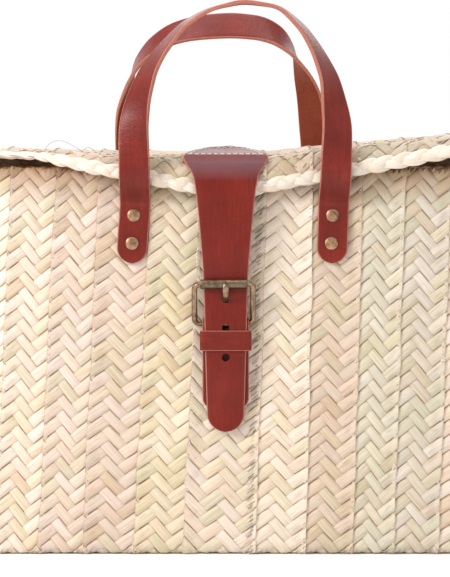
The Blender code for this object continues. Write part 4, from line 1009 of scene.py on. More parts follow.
# ------------------------------------------------------------------ the plaited rims
def braid(bag, path, outward, closed, seed, period=38.0, wide=2.8, deep=1.5, half=2.9, thick=1.75, tint=(0.645, 0.57, 0.505), strands=3, squash=1.0):
    """A flat plait of leaf bundles along a path. outward points away from the object; the plait lies across it."""
    rng = np.random.default_rng(seed)
    path = np.asarray(path, float)
    if closed:
        path = np.concatenate([path, path[:1]])
        outward = np.concatenate([outward, outward[:1]])
    run = np.concatenate([[0], np.cumsum(np.linalg.norm(np.diff(path, axis=0), axis=1))])
    total = run[-1]
    turns = max(round(total / period), 1) if closed else total / period
    count = int(total / 1.5)
    fine = np.linspace(0, total, count + 1)
    if closed:
        fine = fine[:-1]
    centre = np.stack([np.interp(fine, run, path[:, k]) for k in range(3)], axis=1)
    out = np.stack([np.interp(fine, run, outward[:, k]) for k in range(3)], axis=1)
    t = tangents(centre, closed)
    out = out - (out * t).sum(axis=1, keepdims=True) * t
    out /= np.linalg.norm(out, axis=1, keepdims=True)
    side = np.cross(t, out)
    sides = 12
    a = 2 * np.pi * np.arange(sides) / sides
    for k in range(strands):
        phase = 2 * np.pi * (turns * fine / total + k / strands)
        lateral = wide * np.sin(phase)
        height = deep * np.sin(2 * phase)
        line = centre + lateral[:, None] * side + height[:, None] * out
        st = tangents(line, closed)
        su = out - (out * st).sum(axis=1, keepdims=True) * st
        su /= np.linalg.norm(su, axis=1, keepdims=True)
        sw = np.cross(st, su)
        swell = 1 + 0.10 * np.sin(phase * 1.7 + rng.uniform(0, 6)) if not closed else 1.0 + 0.08 * np.sin(3 * phase)
        hw = half * swell
        # three leaf folds side by side give each bundle its ridges
        ridge = 1 + 0.10 * np.cos(3 * a)[None, :] * np.ones((len(fine), 1))
        points = (
            line[:, None]
            + (hw[:, None] * np.cos(a)[None] * ridge)[:, :, None] * sw[:, None]
            + (thick * np.sin(a)[None] * ridge)[:, :, None] * su[:, None]
        )
        quads, tris = rings_faces(len(fine), sides, closed)
        grain = np.stack(
            np.broadcast_arrays(fine[:, None] + 300 * k, (half * a)[None, :] * 1.1, np.full((len(fine), sides), 37.0 * k)), axis=2
        )
        shade = np.array(tint) * (1 + 0.05 * np.sin(fine / 23.0 + 2 * k))[:, None] * np.array((1.0, 1.0 - 0.02 * k, 1.0 - 0.05 * k))
        shade = np.clip(np.repeat(shade, sides, axis=0), 0, 0.94)
        edge = np.broadcast_to((np.abs(np.cos(a)) ** 6)[None], (len(fine), sides))
        bag.add(points, quads[:, ::-1], tris[:, ::-1] if len(tris) else (), 0, grain, shade, edge)


def build_rims():
    z = HEIGHT + 0.3 + 4.0
    r = CORNER_ROUND - 2.0
    y = half_depth(HEIGHT) - CORNER_ROUND
    path, out = [], []
    for cx, cy, start in ((CORNER_X, -y, -90), (CORNER_X, y, 0), (-CORNER_X, y, 90), (-CORNER_X, -y, 180)):
        for k in range(13):
            a = math.radians(start + 90 * k / 12)
            path.append((cx + r * math.cos(a), cy + r * math.sin(a), z))
            out.append((math.cos(a), math.sin(a), 0.0))
    bag = Bag()
    # a thin plait laid along the inside of the turned-over weave
    inside = np.array(path) - 4.3 * np.array(out) - (0, 0, 2.2)
    # the plait's brown tint is painted shade under the flap, and the dark core tube is painted shade between its
    # strands
    braid(bag, inside, np.array(out), True, 11, 30.0, 1.3, 0.6, 1.75, 1.05, tint=(0.50, 0.40, 0.27))
    tube(bag, inside, 1.4, 8, True, mat=0, tint=(0.30, 0.21, 0.12))
    piece = bag.make("plait_mouth_rim", [RIMSTRAW], 60)
    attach(piece, "basket")
    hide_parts("mouth_rim")

    xs, ss = [], []
    left, right = float(rim_reach(-FLAP_CORNER_X)), float(rim_reach(FLAP_CORNER_X))
    for s in np.linspace(9.0, left - FLAP_CORNER_DEPTH, 12):
        xs.append(-FLAP_HALF)
        ss.append(s)
    for k in range(1, 19):
        a = math.radians(90 - 5 * k)
        xs.append(-FLAP_CORNER_X - (FLAP_HALF - FLAP_CORNER_X) * math.sin(a))
        ss.append(left - FLAP_CORNER_DEPTH * (1 - math.cos(a)))
    for x in np.linspace(-FLAP_CORNER_X, FLAP_CORNER_X, 81)[1:-1]:
        xs.append(x)
        ss.append(float(rim_reach(x)))
    for k in range(0, 18):
        a = math.radians(5 * k)
        xs.append(FLAP_CORNER_X + (FLAP_HALF - FLAP_CORNER_X) * math.sin(a))
        ss.append(right - FLAP_CORNER_DEPTH * (1 - math.cos(a)))
    for s in np.linspace(right - FLAP_CORNER_DEPTH, 9.0, 12):
        xs.append(FLAP_HALF)
        ss.append(s)
    xs, ss = np.array(xs), np.array(ss)
    yy, zz, ny, nz = flap_at(xs, ss)
    low = HEIGHT + 0.3 + 8.0 + FLAP_RIM_R + 0.7
    zz = np.where(np.abs(xs) > FLAP_CORNER_X + 30, np.maximum(zz, low), zz)
    path = np.stack([xs, yy, zz], axis=1)
    out = np.stack([np.zeros_like(xs), ny, nz], axis=1)
    bag = Bag()
    braid(bag, path, out, False, 12, 40.0, 2.1, 1.05, 3.6, 1.7)
    # the dark core tube is painted shade between the plait's strands
    tube(bag, path, 1.9, 8, False, mat=0, tint=(0.26, 0.18, 0.11))
    # loose ends of sewing thread standing up from the flap
    for ends, height, bow in (((-136.4, -108.9), 7.6, 0.62), ((-108.9, -99.3), 3.2, 0.5), ((-11.8, 12.7), 5.0, 0.5)):
        t = np.linspace(0, 1, 25)
        lean = t ** (0.7 if bow > 0.55 else 1.0)
        x = ends[0] + (ends[1] - ends[0]) * t
        _, base, _, _ = flap_at(x, np.full(25, 105.0))
        up = height * np.sin(np.pi * lean) + 2.4
        y = -40.0 + 6.0 * t
        tube(bag, np.stack([x, y, base + up], axis=1), 0.14, 6, mat=1)
    piece = bag.make("plait_flap_rim", [RIMSTRAW, SEAM_THREAD], 60)
    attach(piece, "flap")
    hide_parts("flap_rim")


# ------------------------------------------------------------------ leather
def section(half, t, r):
    """Outline of a strap: (across, through, material, edge) around, starting at the face's left edge."""
    half, r = max(half, 0.3), min(r, 0.45 * t, max(half, 0.3) * 0.6)
    out = []
    across = np.linspace(-half + r, half - r, 11)
    for u in across:
        out.append((u, 0.5 * t, 0))
    for a in (60, 30):
        out.append((half - r + r * math.cos(math.radians(a)), 0.5 * t - r + r * math.sin(math.radians(a)), 1))
    out.append((half, 0.5 * t - r, 1))
    out.append((half, -0.5 * t + r, 1))
    for a in (-30, -60):
        out.append((half - r + r * math.cos(math.radians(a)), -0.5 * t + r + r * math.sin(math.radians(a)), 1))
    for u in across[::-1]:
        out.append((u, -0.5 * t, 2))
    for a in (240, 210):
        out.append((-half + r + r * math.cos(math.radians(a)), -0.5 * t + r + r * math.sin(math.radians(a)), 1))
    out.append((-half, -0.5 * t + r, 1))
    out.append((-half, 0.5 * t - r, 1))
    for a in (150, 120):
        out.append((-half + r + r * math.cos(math.radians(a)), 0.5 * t - r + r * math.sin(math.radians(a)), 1))
    return out


def strap(bag, centres, across, normals, halves, t, r=0.7, crown=0.0, belly=None):
    """A leather strap. Materials: 0 grain face, 1 cut edge, 2 flesh."""
    centres = np.asarray(centres, float)
    run = np.concatenate([[0], np.cumsum(np.linalg.norm(np.diff(centres, axis=0), axis=1))])
    points, grain, edge = [], [], []
    shape = section(10, t, r)
    count = len(shape)
    for c, w, n, half, along in zip(centres, across, normals, halves, run):
        for u, h, _ in section(half, t, r):
            f = min(abs(u) / max(half, 0.3), 1.0)
            lift = crown * (1 - f * f)
            points.append(c + np.asarray(w) * u + np.asarray(n) * (h + lift))
            grain.append((along, u, 3.0 * h))
            edge.append(f)
    quads, tris = rings_faces(len(centres), count)
    kinds = np.array([s[2] for s in shape])
    per = []
    for k in range(count):
        a, b = kinds[k], kinds[(k + 1) % count]
        per.append(1 if 1 in (a, b) else a)
    qmat = np.tile(per, len(centres) - 1)
    first = bag.count
    bag.add(points, quads[:, ::-1], tris[:, ::-1], 1, grain, None, edge, qmat)


def fix_normals(piece):
    work = bmesh.new()
    work.from_mesh(piece.data)
    bmesh.ops.recalc_face_normals(work, faces=work.faces)
    work.to_mesh(piece.data)
    work.free()


FRONT_LINE = (
    (-68.6, 258.5, 0), (-68.6, 277, 0), (-69.1, 315, 22), (-65.5, 334, 42),
    (-58, 355, 60), (-49.6, 368, 70), (-33, 387, 80), (-15, 398, 86),
    (10, 404, 90), (37, 400, 86), (54, 384, 78), (64, 368, 70),
    (73, 348, 55), (78.5, 315, 22), (77.5, 277, 0), (76.6, 258.5, 0),
)
REAR_LINE = (
    (-78.2, 258.5, 0), (-78.2, 300, 5), (-79.5, 326, 42), (-78, 348, 84),
    (-72, 364, 104), (-60, 377, 120), (-45, 386, 134), (-31, 390, 142),
    (-15, 392, 148), (3, 393, 150), (25, 391, 146), (39, 385, 130),
    (51, 372, 100), (58, 354, 62), (63, 340, 40), (65, 328, 30),
    (68.3, 300, 5), (68.8, 258.5, 0),
)
FRONT_STANCE = ((258.5, -65.6), (263, -69.3), (268, -74.5), (273, -79), (280, -81.3), (290, -81.8), (330, -81.5), (404, -80))
REAR_STANCE = ((258.5, 65.7), (262.5, 68.8), (267, 72.3), (275, 73.8), (300, 74), (330, 73), (360, 70), (380, 67), (393, 65))


def handle_line(line, stance):
    line = np.array(line, float)
    run = np.concatenate([[0], np.cumsum(np.hypot(*np.diff(line[:, :2], axis=0).T))])
    fine = np.linspace(0, run[-1], 401)
    data = np.stack([np.interp(fine, run, line[:, k]) for k in range(3)], axis=1)
    for _ in range(60):
        data[1:-1] = 0.25 * data[:-2] + 0.5 * data[1:-1] + 0.25 * data[2:]
    y = np.interp(data[:, 1], [p[0] for p in stance], [p[1] for p in stance])
    for _ in range(6):
        y[1:-1] = 0.25 * y[:-2] + 0.5 * y[1:-1] + 0.25 * y[2:]
    stops = np.linspace(0, run[-1], 190)
    pick = lambda values: np.interp(stops, fine, values)
    return np.stack([pick(data[:, 0]), pick(y), pick(data[:, 1])], axis=1), np.radians(pick(data[:, 2]))


def build_handle(word, side, legs, line, stance):
    centres, turns = handle_line(line, stance)
    facing = float(side)
    low = 214.0
    tip = STRAP_HALF
    zs = [low + tip * (1 - math.cos(a)) for a in np.linspace(0, 0.5 * math.pi, 12)] + list(np.linspace(low + tip + 3, 255.6, 14))
    halves = [max(tip * math.sin(a), 0.5) for a in np.linspace(0, 0.5 * math.pi, 12)] + [tip] * 14
    lean = lambda z, hand: LEG_SET[word, hand] * float(smooth01((262.0 - z) / 42.0))
    first = [on_wall(legs[0] - lean(z, "left"), 1.8, z, side) for z in zs]
    last = [on_wall(legs[1] - 0.6 * lean(z, "right"), 1.8, z, side) for z in reversed(zs)]
    path = np.array(first + list(centres) + last)
    half = np.array(halves + [STRAP_HALF] * len(centres) + halves[::-1])
    turn = np.concatenate([np.zeros(len(first)), turns, np.zeros(len(last))])
    middle = centres.mean(axis=0)
    lines = tangents(path)
    across, normals = [], []
    for c, t, a in zip(path, lines, turn):
        face = unit(np.array([0.0, facing, 0.0]) - facing * t[1] * t)
        out = np.cross(t, face)
        if np.dot(out, c - middle) < 0:
            out = -out
        n = math.cos(a) * face + math.sin(a) * out
        normals.append(n)
        across.append(np.cross(t, n))
    bag = Bag()
    strap(bag, path, across, normals, half, STRAP_T, 0.75, 0.12)
    piece = bag.make("leather_%s_handle" % word, [LEATHER, CUT, FLESH])
    fix_normals(piece)
    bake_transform(piece)
    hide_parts(word + "_handle_loop", word + "_handle_end_left", word + "_handle_end_right")


def lathe(bag, x, z, side, profile, steps=40, mat=0):
    """A round piece whose axis stands out of the wall; profile holds (radius, distance outside the wall)."""
    profile = np.array(profile, float)
    a = 2 * np.pi * np.arange(steps) / steps
    rings = []
    for r, n in profile:
        c = on_wall(x, n, z, side)
        ring = c + max(r, 0.01) * np.stack([np.cos(a), -side * np.sin(a) * math.sin(BETA), np.sin(a) * math.cos(BETA)], axis=1)
        rings.append(ring)
    quads, tris = rings_faces(len(profile), steps)
    bag.add(np.concatenate(rings), quads, tris, mat)


# how far each riveted end is swung out of line with its strap
LEG_SET = {("front", "left"): 2.3, ("front", "right"): 1.7, ("rear", "left"): 0.0, ("rear", "right"): 0.0}


def rivet(bag, x, z, side, face, patch):
    out, back = face + 0.25, patch - 0.2
    profile = [(0.0, back - 1.4), (2.4, back - 1.35), (3.9, back - 1.1), (4.6, back - 0.6), (4.75, back - 0.15), (4.6, back), (2.2, back), (2.2, out), (4.4, out - 0.05), (4.75, out + 0.12), (4.78, out + 0.42), (4.6, out + 0.62)]
    for f in np.linspace(0.93, 0.0, 12):
        profile.append((4.6 * f, out + 0.62 + 0.95 * (1 - f * f) ** 0.85))
    lathe(bag, x, z, side, profile)


def build_rivets():
    for word, side, legs in (("front", -1, FRONT_LEGS), ("rear", 1, REAR_LEGS)):
        for hand, x in zip(("left", "right"), legs):
            for place, z in zip(("lower", "upper"), RIVET_Z):
                bag = Bag()
                rivet(bag, x - LEG_SET[word, hand] * (1.0 if z < 240 else 0.45), z, side, 3.3, -4.0 - 0.3 - PATCH_T)
                piece = bag.make("brass_%s_rivet_%s_%s" % (word, hand, place), [BRASS], 50)
                fix_normals(piece)
                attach(piece, "basket")
                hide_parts("%s_rivet_%s_%s" % (word, hand, place))
            bag = Bag()
            plate(bag, x, side, 214, 262, 13.0, -4.0 - 0.3 - 0.5 * PATCH_T, PATCH_T, True, True)
            piece = bag.make("leather_%s_patch_%s" % (word, hand), [BACKING, CUT, BACKING])
            fix_normals(piece)
            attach(piece, "basket")
            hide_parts("%s_backing_patch_%s" % (word, hand))
    for word, dx in (("left", -9.0), ("right", 9.0)):
        bag = Bag()
        rivet(bag, CLOSE_X + dx, 124.0, -1, 0.3 + BUCKLE_STRAP_T, -4.0 - 0.3 - PATCH_T)
        piece = bag.make("brass_buckle_rivet_" + word, [BRASS], 50)
        fix_normals(piece)
        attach(piece, "basket")
        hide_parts("buckle_rivet_" + word)
    bag = Bag()
    plate(bag, CLOSE_X, -1, 111, 137, 17.0, -4.0 - 0.3 - 0.5 * PATCH_T, PATCH_T, False, False)
    piece = bag.make("leather_buckle_patch", [BACKING, CUT, BACKING])
    fix_normals(piece)
    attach(piece, "basket")
    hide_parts("buckle_backing_patch")


def plate(bag, x, side, low, high, half, n, t, round_low, round_high):
    stops = []
    if round_low:
        stops += [(low + half * (1 - math.cos(a)), half * math.sin(a)) for a in np.linspace(0, 0.5 * math.pi, 10)]
    else:
        stops += [(low, half - 0.8), (low + 0.4, half - 0.2), (low + 1.0, half)]
    if round_high:
        stops += [(high - half * (1 - math.sin(a)), half * math.cos(a)) for a in np.linspace(0, 0.5 * math.pi, 10)]
    else:
        stops += [(high - 1.0, half), (high - 0.4, half - 0.2), (high, half - 0.8)]
    centres = [on_wall(x, n, z, side) for z, _ in stops]
    face = np.array([0.0, side * math.cos(BETA), math.sin(BETA)])
    up = np.array([0.0, -side * math.sin(BETA), math.cos(BETA)])
    across = np.cross(up, face)
    strap(bag, centres, [across] * len(stops), [face] * len(stops), [max(h, 0.5) for _, h in stops], t, 0.5)


TAB_OUTLINE = ((0.13, 18.6), (0.20, 21.6), (0.28, 23.9), (0.39, 26.1), (0.50, 27.8), (0.60, 29.1), (0.68, 30.2), (0.735, 30.9), (0.78, 30.9), (0.83, 29.9), (0.89, 28.1), (0.95, 25.8), (1.0, 24.0))


def tab_half(f):
    if f < 0.13:
        return 18.6 * math.sqrt(max(1 - ((0.13 - f) / 0.13) ** 2, 0.0006))
    return float(np.interp(f, [o[0] for o in TAB_OUTLINE], [o[1] for o in TAB_OUTLINE]))


TAB_LIFT = 2.0 + 0.7 + 0.5 * TAIL_T
TAB_START = FLAP_BACK_Y - FLAP_BEND_Y - 24.0
TAB_END = FLAP_BACK_Y - FLAP_BEND_Y + FLAP_BEND_R * (0.5 * math.pi - 2.5 / (FLAP_BEND_R + TAB_LIFT))


def tab_spot(f, lift=TAB_LIFT):
    y, z, ny, nz = flap_at(0.0, TAB_START + (TAB_END - TAB_START) * f)
    # the rounded end curls up a little from the flap
    lift = lift + 1.0 * (1.0 - float(smooth01(f / 0.13)))
    return np.array([float(y + lift * ny), float(z + lift * nz)]), np.array([float(ny), float(nz)])


def tail_half(z):
    if z > 199:
        return 16.0 + 6.4 * ((z - 199) / 77.0) ** 1.15 + 1.5 * math.exp(-max(276.0 - z, 0.0) / 5.5)
    return 16.0 - 2.7 * ((199 - z) / 108.0) ** 1.2


def tail_centre(z):
    wall = -half_depth(z)
    if z > 199:
        free = ((199, wall - TAIL_N), (225, -78.4), (250, -79.4), (265, -79.7), (270, -79.5), (273, -78.8), (275, -77.7), (277, -76.6))
        return float(np.interp(z, [p[0] for p in free], [p[1] for p in free]))
    if z > 148:
        return wall - TAIL_N * math.cos(BETA)
    f = min((148 - z) / 50.0, 1.0)
    return wall - (TAIL_N - 5.0 * f * f * (3 - 2 * f))


def flat_frame(stops):
    """Centres, across and normals of a strap that bends about X only."""
    centres = np.array([[CLOSE_X, y, z] for y, z in stops])
    lines = tangents(centres)
    lines[0], lines[-1] = unit(centres[1] - centres[0]), unit(centres[-1] - centres[-2])
    x = np.array([1.0, 0.0, 0.0])
    return centres, [x] * len(stops), [np.cross(t, x) for t in lines]


def applied(piece, name=None):
    """The piece's evaluated mesh in place of its modifiers."""
    graph = bpy.context.evaluated_depsgraph_get()
    mesh = bpy.data.meshes.new_from_object(piece.evaluated_get(graph))
    piece.modifiers.clear()
    piece.data = mesh
    return piece


def cut_with(piece, cutters):
    for cutter in cutters:
        modifier = piece.modifiers.new("cut", "BOOLEAN")
        modifier.operation = "DIFFERENCE"
        modifier.solver = "EXACT"
        modifier.object = cutter
    bpy.context.view_layer.update()
    applied(piece)
    for cutter in cutters:
        bpy.data.objects.remove(cutter, do_unlink=True)
    for polygon in piece.data.polygons:
        polygon.use_smooth = True
    piece.data.set_sharp_from_angle(angle=math.radians(50))
    return piece


def build_closure():
    stops, halves = [], []
    for f in np.concatenate([np.linspace(0, 0.42, 30), np.linspace(0.44, 1.0, 26)]):
        g = 0.42 * (f / 0.42) ** 2 if f <= 0.42 else f
        spot, _ = tab_spot(g)
        stops.append((spot[0], spot[1]))
        halves.append(tab_half(g))
    tail = [(tail_centre(z), z) for z in list(np.linspace(274.5, 104.2, 120))]
    tail_h = [tail_half(z) for _, z in tail]
    for a in np.linspace(0.06, 0.5 * math.pi, 14):
        z = TAIL_TIP_Z + 13.0 * (1 - math.sin(a))
        tail.append((tail_centre(z), z))
        tail_h.append(max(tail_half(z) * math.cos(a), 0.9))
    stops, halves = np.array(stops + tail), np.array(halves + tail_h)
    inner = stops.copy()
    for _ in range(5):
        inner[50:-16] = 0.25 * inner[49:-17] + 0.5 * inner[50:-16] + 0.25 * inner[51:-15]
    centres, across, normals = flat_frame(inner)
    bag = Bag()
    strap(bag, centres, across, normals, halves, TAIL_T, 0.7, 0.15)
    piece = bag.make("leather_closure", [LEATHER_FLAT, CUT, FLESH])
    fix_normals(piece)
    cutters = []
    for z in (HOLES_Z[0], HOLES_Z[1] - 1.4, HOLES_Z[2] - 1.2):
        hole = Bag()
        tube(hole, [on_wall(CLOSE_X, TAIL_N - 5, z), on_wall(CLOSE_X, TAIL_N + 5, z)], HOLE_R - 0.15, 28)
        cutter = hole.make("cutter", [CUT])
        fix_normals(cutter)
        cutter.hide_render = True
        cutters.append(cutter)
    cut_with(piece, cutters)
    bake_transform(piece)
    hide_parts("closure_tab", "closure_tail")

    # white stitches: one straight row and one that follows the arch
    thread = Bag()

    def stitch(f0, x0, f1, x1):
        (y0, z0), n0 = tab_spot(f0, TAB_LIFT + 0.5 * TAIL_T)
        (y1, z1), n1 = tab_spot(f1, TAB_LIFT + 0.5 * TAIL_T)
        a = np.array([CLOSE_X + x0, y0, z0])
        b = np.array([CLOSE_X + x1, y1, z1])
        n = np.array([0, *(0.5 * (n0 + n1))])
        s = np.linspace(0, 1, 9)
        bulge = 0.62 * np.sin(np.pi * s) ** 0.45 - 0.56
        path = a[None] + (b - a)[None] * s[:, None] + n[None] * bulge[:, None]
        tube(thread, path, 0.62, 10, up=n)

    for k in range(12):
        x = -25.6 + 4.655 * k
        stitch(ROW_F, x - 1.6, ROW_F + 0.002, x + 1.6)
    reach = TAB_END - TAB_START
    half = [(tab_half(g), reach * g) for g in ROW_F * np.linspace(0, 1, 60) ** 2]
    edge = np.array([(-x, v) for x, v in reversed(half)] + half[1:])
    edge[:, 0] = np.where(np.abs(edge[:, 0]) < 0.6, 0.0, edge[:, 0])
    aim = np.gradient(edge, axis=0)
    for _ in range(6):
        aim[1:-1] = 0.25 * aim[:-2] + 0.5 * aim[1:-1] + 0.25 * aim[2:]
    aim /= np.linalg.norm(aim, axis=1, keepdims=True)
    inset = edge + 4.2 * np.stack([-aim[:, 1], aim[:, 0]], axis=1)
    for _ in range(10):
        inset[1:-1] = 0.25 * inset[:-2] + 0.5 * inset[1:-1] + 0.25 * inset[2:]
    far = np.concatenate([[0], np.cumsum(np.linalg.norm(np.diff(inset, axis=0), axis=1))])
    at = lambda d: (np.interp(d, far, inset[:, 0]), np.interp(d, far, inset[:, 1]) / reach)
    d = 3.4
    while d < far[-1] - 5.0:
        (x0, f0), (x1, f1) = at(d), at(d + 3.0)
        stitch(f0, x0, f1, x1)
        d += 4.45
    piece = thread.make("thread_tab", [WHITE_THREAD])
    fix_normals(piece)
    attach(piece, "flap")


ROW_F = 0.685


def build_buckle_strap():
    radius = FOLD_INNER + 0.5 * BUCKLE_STRAP_T
    layer = 0.3 + 0.5 * BUCKLE_STRAP_T
    low = BUCKLE_STRAP_LOW - 3.5
    stops = [(layer, low + 9 * (1 - math.cos(a)), max(BUCKLE_STRAP_HALF * math.sin(a) ** 0.7, 0.8)) for a in np.linspace(0, 0.5 * math.pi, 16)]
    stops += [(layer, z, BUCKLE_STRAP_HALF) for z in np.linspace(low + 11, HEEL_Z - 4, 22)]
    stops += [(HEEL_N - radius * math.cos(a), HEEL_Z + radius * math.sin(a), BUCKLE_STRAP_HALF) for a in np.linspace(0, math.pi, 17)]
    stops += [(HEEL_N + radius, z, BUCKLE_STRAP_HALF) for z in np.linspace(HEEL_Z - 4, KEEPER_LOW - 2, 8)]
    line = [on_wall(0, n, z) for n, z, _ in stops]
    centres, across, normals = flat_frame([(p[1], p[2]) for p in line])
    # the face seen on the front layer is the one that is outermost there
    bag = Bag()
    strap(bag, centres, across, normals, [s[2] for s in stops], BUCKLE_STRAP_T, 0.6)
    piece = bag.make("leather_buckle_strap", [LEATHER, CUT, LEATHER])
    fix_normals(piece)
    corners = [on_wall(CLOSE_X + x, n, z) for z in (KEEPER_TOP + 1.0, HEEL_Z + 8) for x, n in ((-2.7, -1.0), (2.7, -1.0), (2.7, 12.0), (-2.7, 12.0))]
    box = Bag()
    box.add(corners, [(0, 1, 2, 3), (4, 5, 6, 7), (0, 1, 5, 4), (1, 2, 6, 5), (2, 3, 7, 6), (3, 0, 4, 7)])
    cutter = box.make("cutter", [CUT])
    fix_normals(cutter)
    cut_with(piece, [cutter])
    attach(piece, "basket")
    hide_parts("buckle_strap")

    # the keeper, a loop of leather round the strap
    near, far, half = HEEL_N + FOLD_INNER - 0.3, TAIL_N + 0.5 * TAIL_T + 0.3, BUCKLE_STRAP_HALF + 0.4
    corner = 1.6
    loop = []
    mid = 0.5 * KEEPER_T
    for cx, cn, start in ((half - corner, near + corner, -90), (half - corner, far - corner, 0), (-half + corner, far - corner, 90), (-half + corner, near + corner, 180)):
        for a in np.radians(start + np.linspace(0, 90, 8)):
            loop.append((cx + (corner + mid) * math.cos(a), cn + (corner + mid) * math.sin(a), math.cos(a), math.sin(a)))
    low, high = KEEPER_LOW - 0.2, KEEPER_TOP + 0.7
    outline = section(0.5 * (high - low), KEEPER_T, 0.45)
    bag = Bag()
    points, grain, edge = [], [], []
    run = 0.0
    last = None
    for x, n, cx, cn in loop:
        spot = on_wall(CLOSE_X + x, n, 0.5 * (low + high))
        face = np.array([cx, -cn * math.cos(BETA), cn * math.sin(BETA)])
        up = np.array([0.0, math.sin(BETA), math.cos(BETA)])
        run += 0 if last is None else float(np.linalg.norm(spot - last))
        last = spot
        for u, h, _ in outline:
            points.append(spot + up * u + face * h)
            grain.append((run, u, 3 * h))
            edge.append(abs(u) / (0.5 * (high - low)))
    quads, _ = rings_faces(len(loop), len(outline), True)
    kinds = [o[2] for o in outline]
    per = [1 if 1 in (kinds[k], kinds[(k + 1) % len(kinds)]) else kinds[k] for k in range(len(kinds))]
    bag.add(points, quads, (), 0, grain, None, edge, np.tile(per, len(loop)))
    piece = bag.make("leather_keeper", [LEATHER, CUT, FLESH])
    fix_normals(piece)
    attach(piece, "basket")
    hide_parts("keeper")


def leaning(p, turn):
    """The buckle hangs a little to the left and turned, its right end up; the roller keeps to its axle."""
    p = np.asarray(p, float)
    return p + np.stack([np.full(p.shape[:-1], -1.4), np.zeros(p.shape[:-1]), turn * (p[..., 0] - CLOSE_X)], axis=-1)


def build_buckle():
    heel, front = on_wall(0, HEEL_N, HEEL_Z), on_wall(0, ROLLER_N, ROLLER_Z)
    along = front - heel
    length = np.linalg.norm(along)
    along = along / length
    path, radii = [], []
    corners = (
        (FRAME_HALF - FRAME_CORNER, FRAME_CORNER, -90, HEEL_R, SIDE_BAR_R),
        (FRAME_HALF - FRAME_CORNER, length - FRAME_CORNER, 0, SIDE_BAR_R, TOP_BAR_R),
        (-FRAME_HALF + FRAME_CORNER, length - FRAME_CORNER, 90, TOP_BAR_R, SIDE_BAR_R),
        (-FRAME_HALF + FRAME_CORNER, FRAME_CORNER, 180, SIDE_BAR_R, HEEL_R),
    )
    for cx, cu, start, r0, r1 in corners:
        for k in range(13):
            a = math.radians(start + 90 * k / 12)
            x, u = cx + FRAME_CORNER * math.cos(a), cu + FRAME_CORNER * math.sin(a)
            spot = heel + along * u
            path.append(np.array([CLOSE_X + x, spot[1], spot[2]]))
            radii.append(r0 + (r1 - r0) * k / 12)
    bag = Bag()
    tube(bag, leaning(np.array(path), 0.024), radii, 24, True, up=np.cross((1.0, 0.0, 0.0), along))
    piece = bag.make("brass_buckle_frame", [BRASS_FRAME])
    fix_normals(piece)
    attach(piece, "buckle")
    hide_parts("buckle_frame")

    # the roller: rolled sheet with turned ends
    centre = np.array([CLOSE_X, front[1], front[2]])
    steps = 48
    a = 2 * np.pi * np.arange(steps) / steps
    outline = [(-ROLLER_HALF, ROLLER_BORE + 0.2), (-ROLLER_HALF, ROLLER_R - 0.55), (-ROLLER_HALF + 0.25, ROLLER_R - 0.15), (-ROLLER_HALF + 0.7, ROLLER_R)]
    outline += [(x, ROLLER_R - 0.05 * (abs(x) < 15)) for x in np.linspace(-ROLLER_HALF + 1.2, ROLLER_HALF - 1.2, 14)]
    outline += [(ROLLER_HALF - 0.7, ROLLER_R), (ROLLER_HALF - 0.25, ROLLER_R - 0.15), (ROLLER_HALF, ROLLER_R - 0.55), (ROLLER_HALF, ROLLER_BORE + 0.2)]
    rings = []
    for x, r in outline:
        groove = np.where(np.abs(((a + 2.0) % (2 * np.pi)) - np.pi) < 0.07, 0.35, 0.0)
        rings.append(centre + np.stack([np.full(steps, x), (r - groove) * np.cos(a), (r - groove) * np.sin(a)], axis=1))
    quads, _ = rings_faces(len(outline), steps, True)
    bag = Bag()
    bag.add(leaning(np.concatenate(rings), 0.006), quads, ())
    piece = bag.make("brass_roller", [BRASS_ROLLER], 50)
    fix_normals(piece)
    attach(piece, "roller")
    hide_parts("buckle_roller")

    # the prong: an eye round the heel bar and a flattened shank through the strap, resting on the roller
    line = np.array(
        [(6.4, 172.6), (7.2, 176.0), (7.2, 180.8), (7.3, 184.2), (8.6, 185.9), (11.0, 186.7), (13.8, 187.9), (16.8, 190.0), (19.4, 192.8), (20.9, 196.0), (21.2, 199.2)]
    )
    run = np.concatenate([[0], np.cumsum(np.linalg.norm(np.diff(line, axis=0), axis=1))])
    fine = np.linspace(0, run[-1], 70)
    path = np.stack([np.interp(fine, run, line[:, 0]), np.interp(fine, run, line[:, 1])], axis=1)
    for _ in range(12):
        path[1:-1] = 0.25 * path[:-2] + 0.5 * path[1:-1] + 0.25 * path[2:]
    spots = [on_wall(CLOSE_X, n, z) for n, z in path]
    bag = Bag()
    t = tangents(spots)
    x = np.array([1.0, 0.0, 0.0])
    sides = 20
    ang = 2 * np.pi * np.arange(sides) / sides
    rings = []
    for c, d, f in zip(spots, t, np.linspace(0, 1, len(spots))):
        n = np.cross(x, d)
        wide = 2.3 * (1 - 0.42 * smooth01((f - 0.91) / 0.09) ** 2)
        thick = 1.3 * (1 - 0.45 * smooth01((f - 0.90) / 0.10) ** 2)
        rings.append(c + np.outer(wide * np.sign(np.cos(ang)) * np.abs(np.cos(ang)) ** 0.8, x) + np.outer(thick * np.sign(np.sin(ang)) * np.abs(np.sin(ang)) ** 0.8, n))
    quads, tris = rings_faces(len(rings), sides)
    bag.add(np.concatenate(rings), quads, tris)
    eye = []
    for b in np.linspace(0, 2 * np.pi, 33)[:-1]:
        out = np.array([0.0, math.cos(b), math.sin(b)])
        c = np.array([CLOSE_X, heel[1], heel[2]]) + 2.8 * out
        eye.append(c + np.outer(2.1 * np.sign(np.cos(ang)) * np.abs(np.cos(ang)) ** 0.6, x) + np.outer(0.75 * np.sin(ang), out))
    quads, _ = rings_faces(len(eye), sides, True)
    bag.add(np.concatenate(eye), quads, ())
    piece = bag.make("brass_prong", [BRASS_FRAME])
    fix_normals(piece)
    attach(piece, "prong")
    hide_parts("buckle_prong")


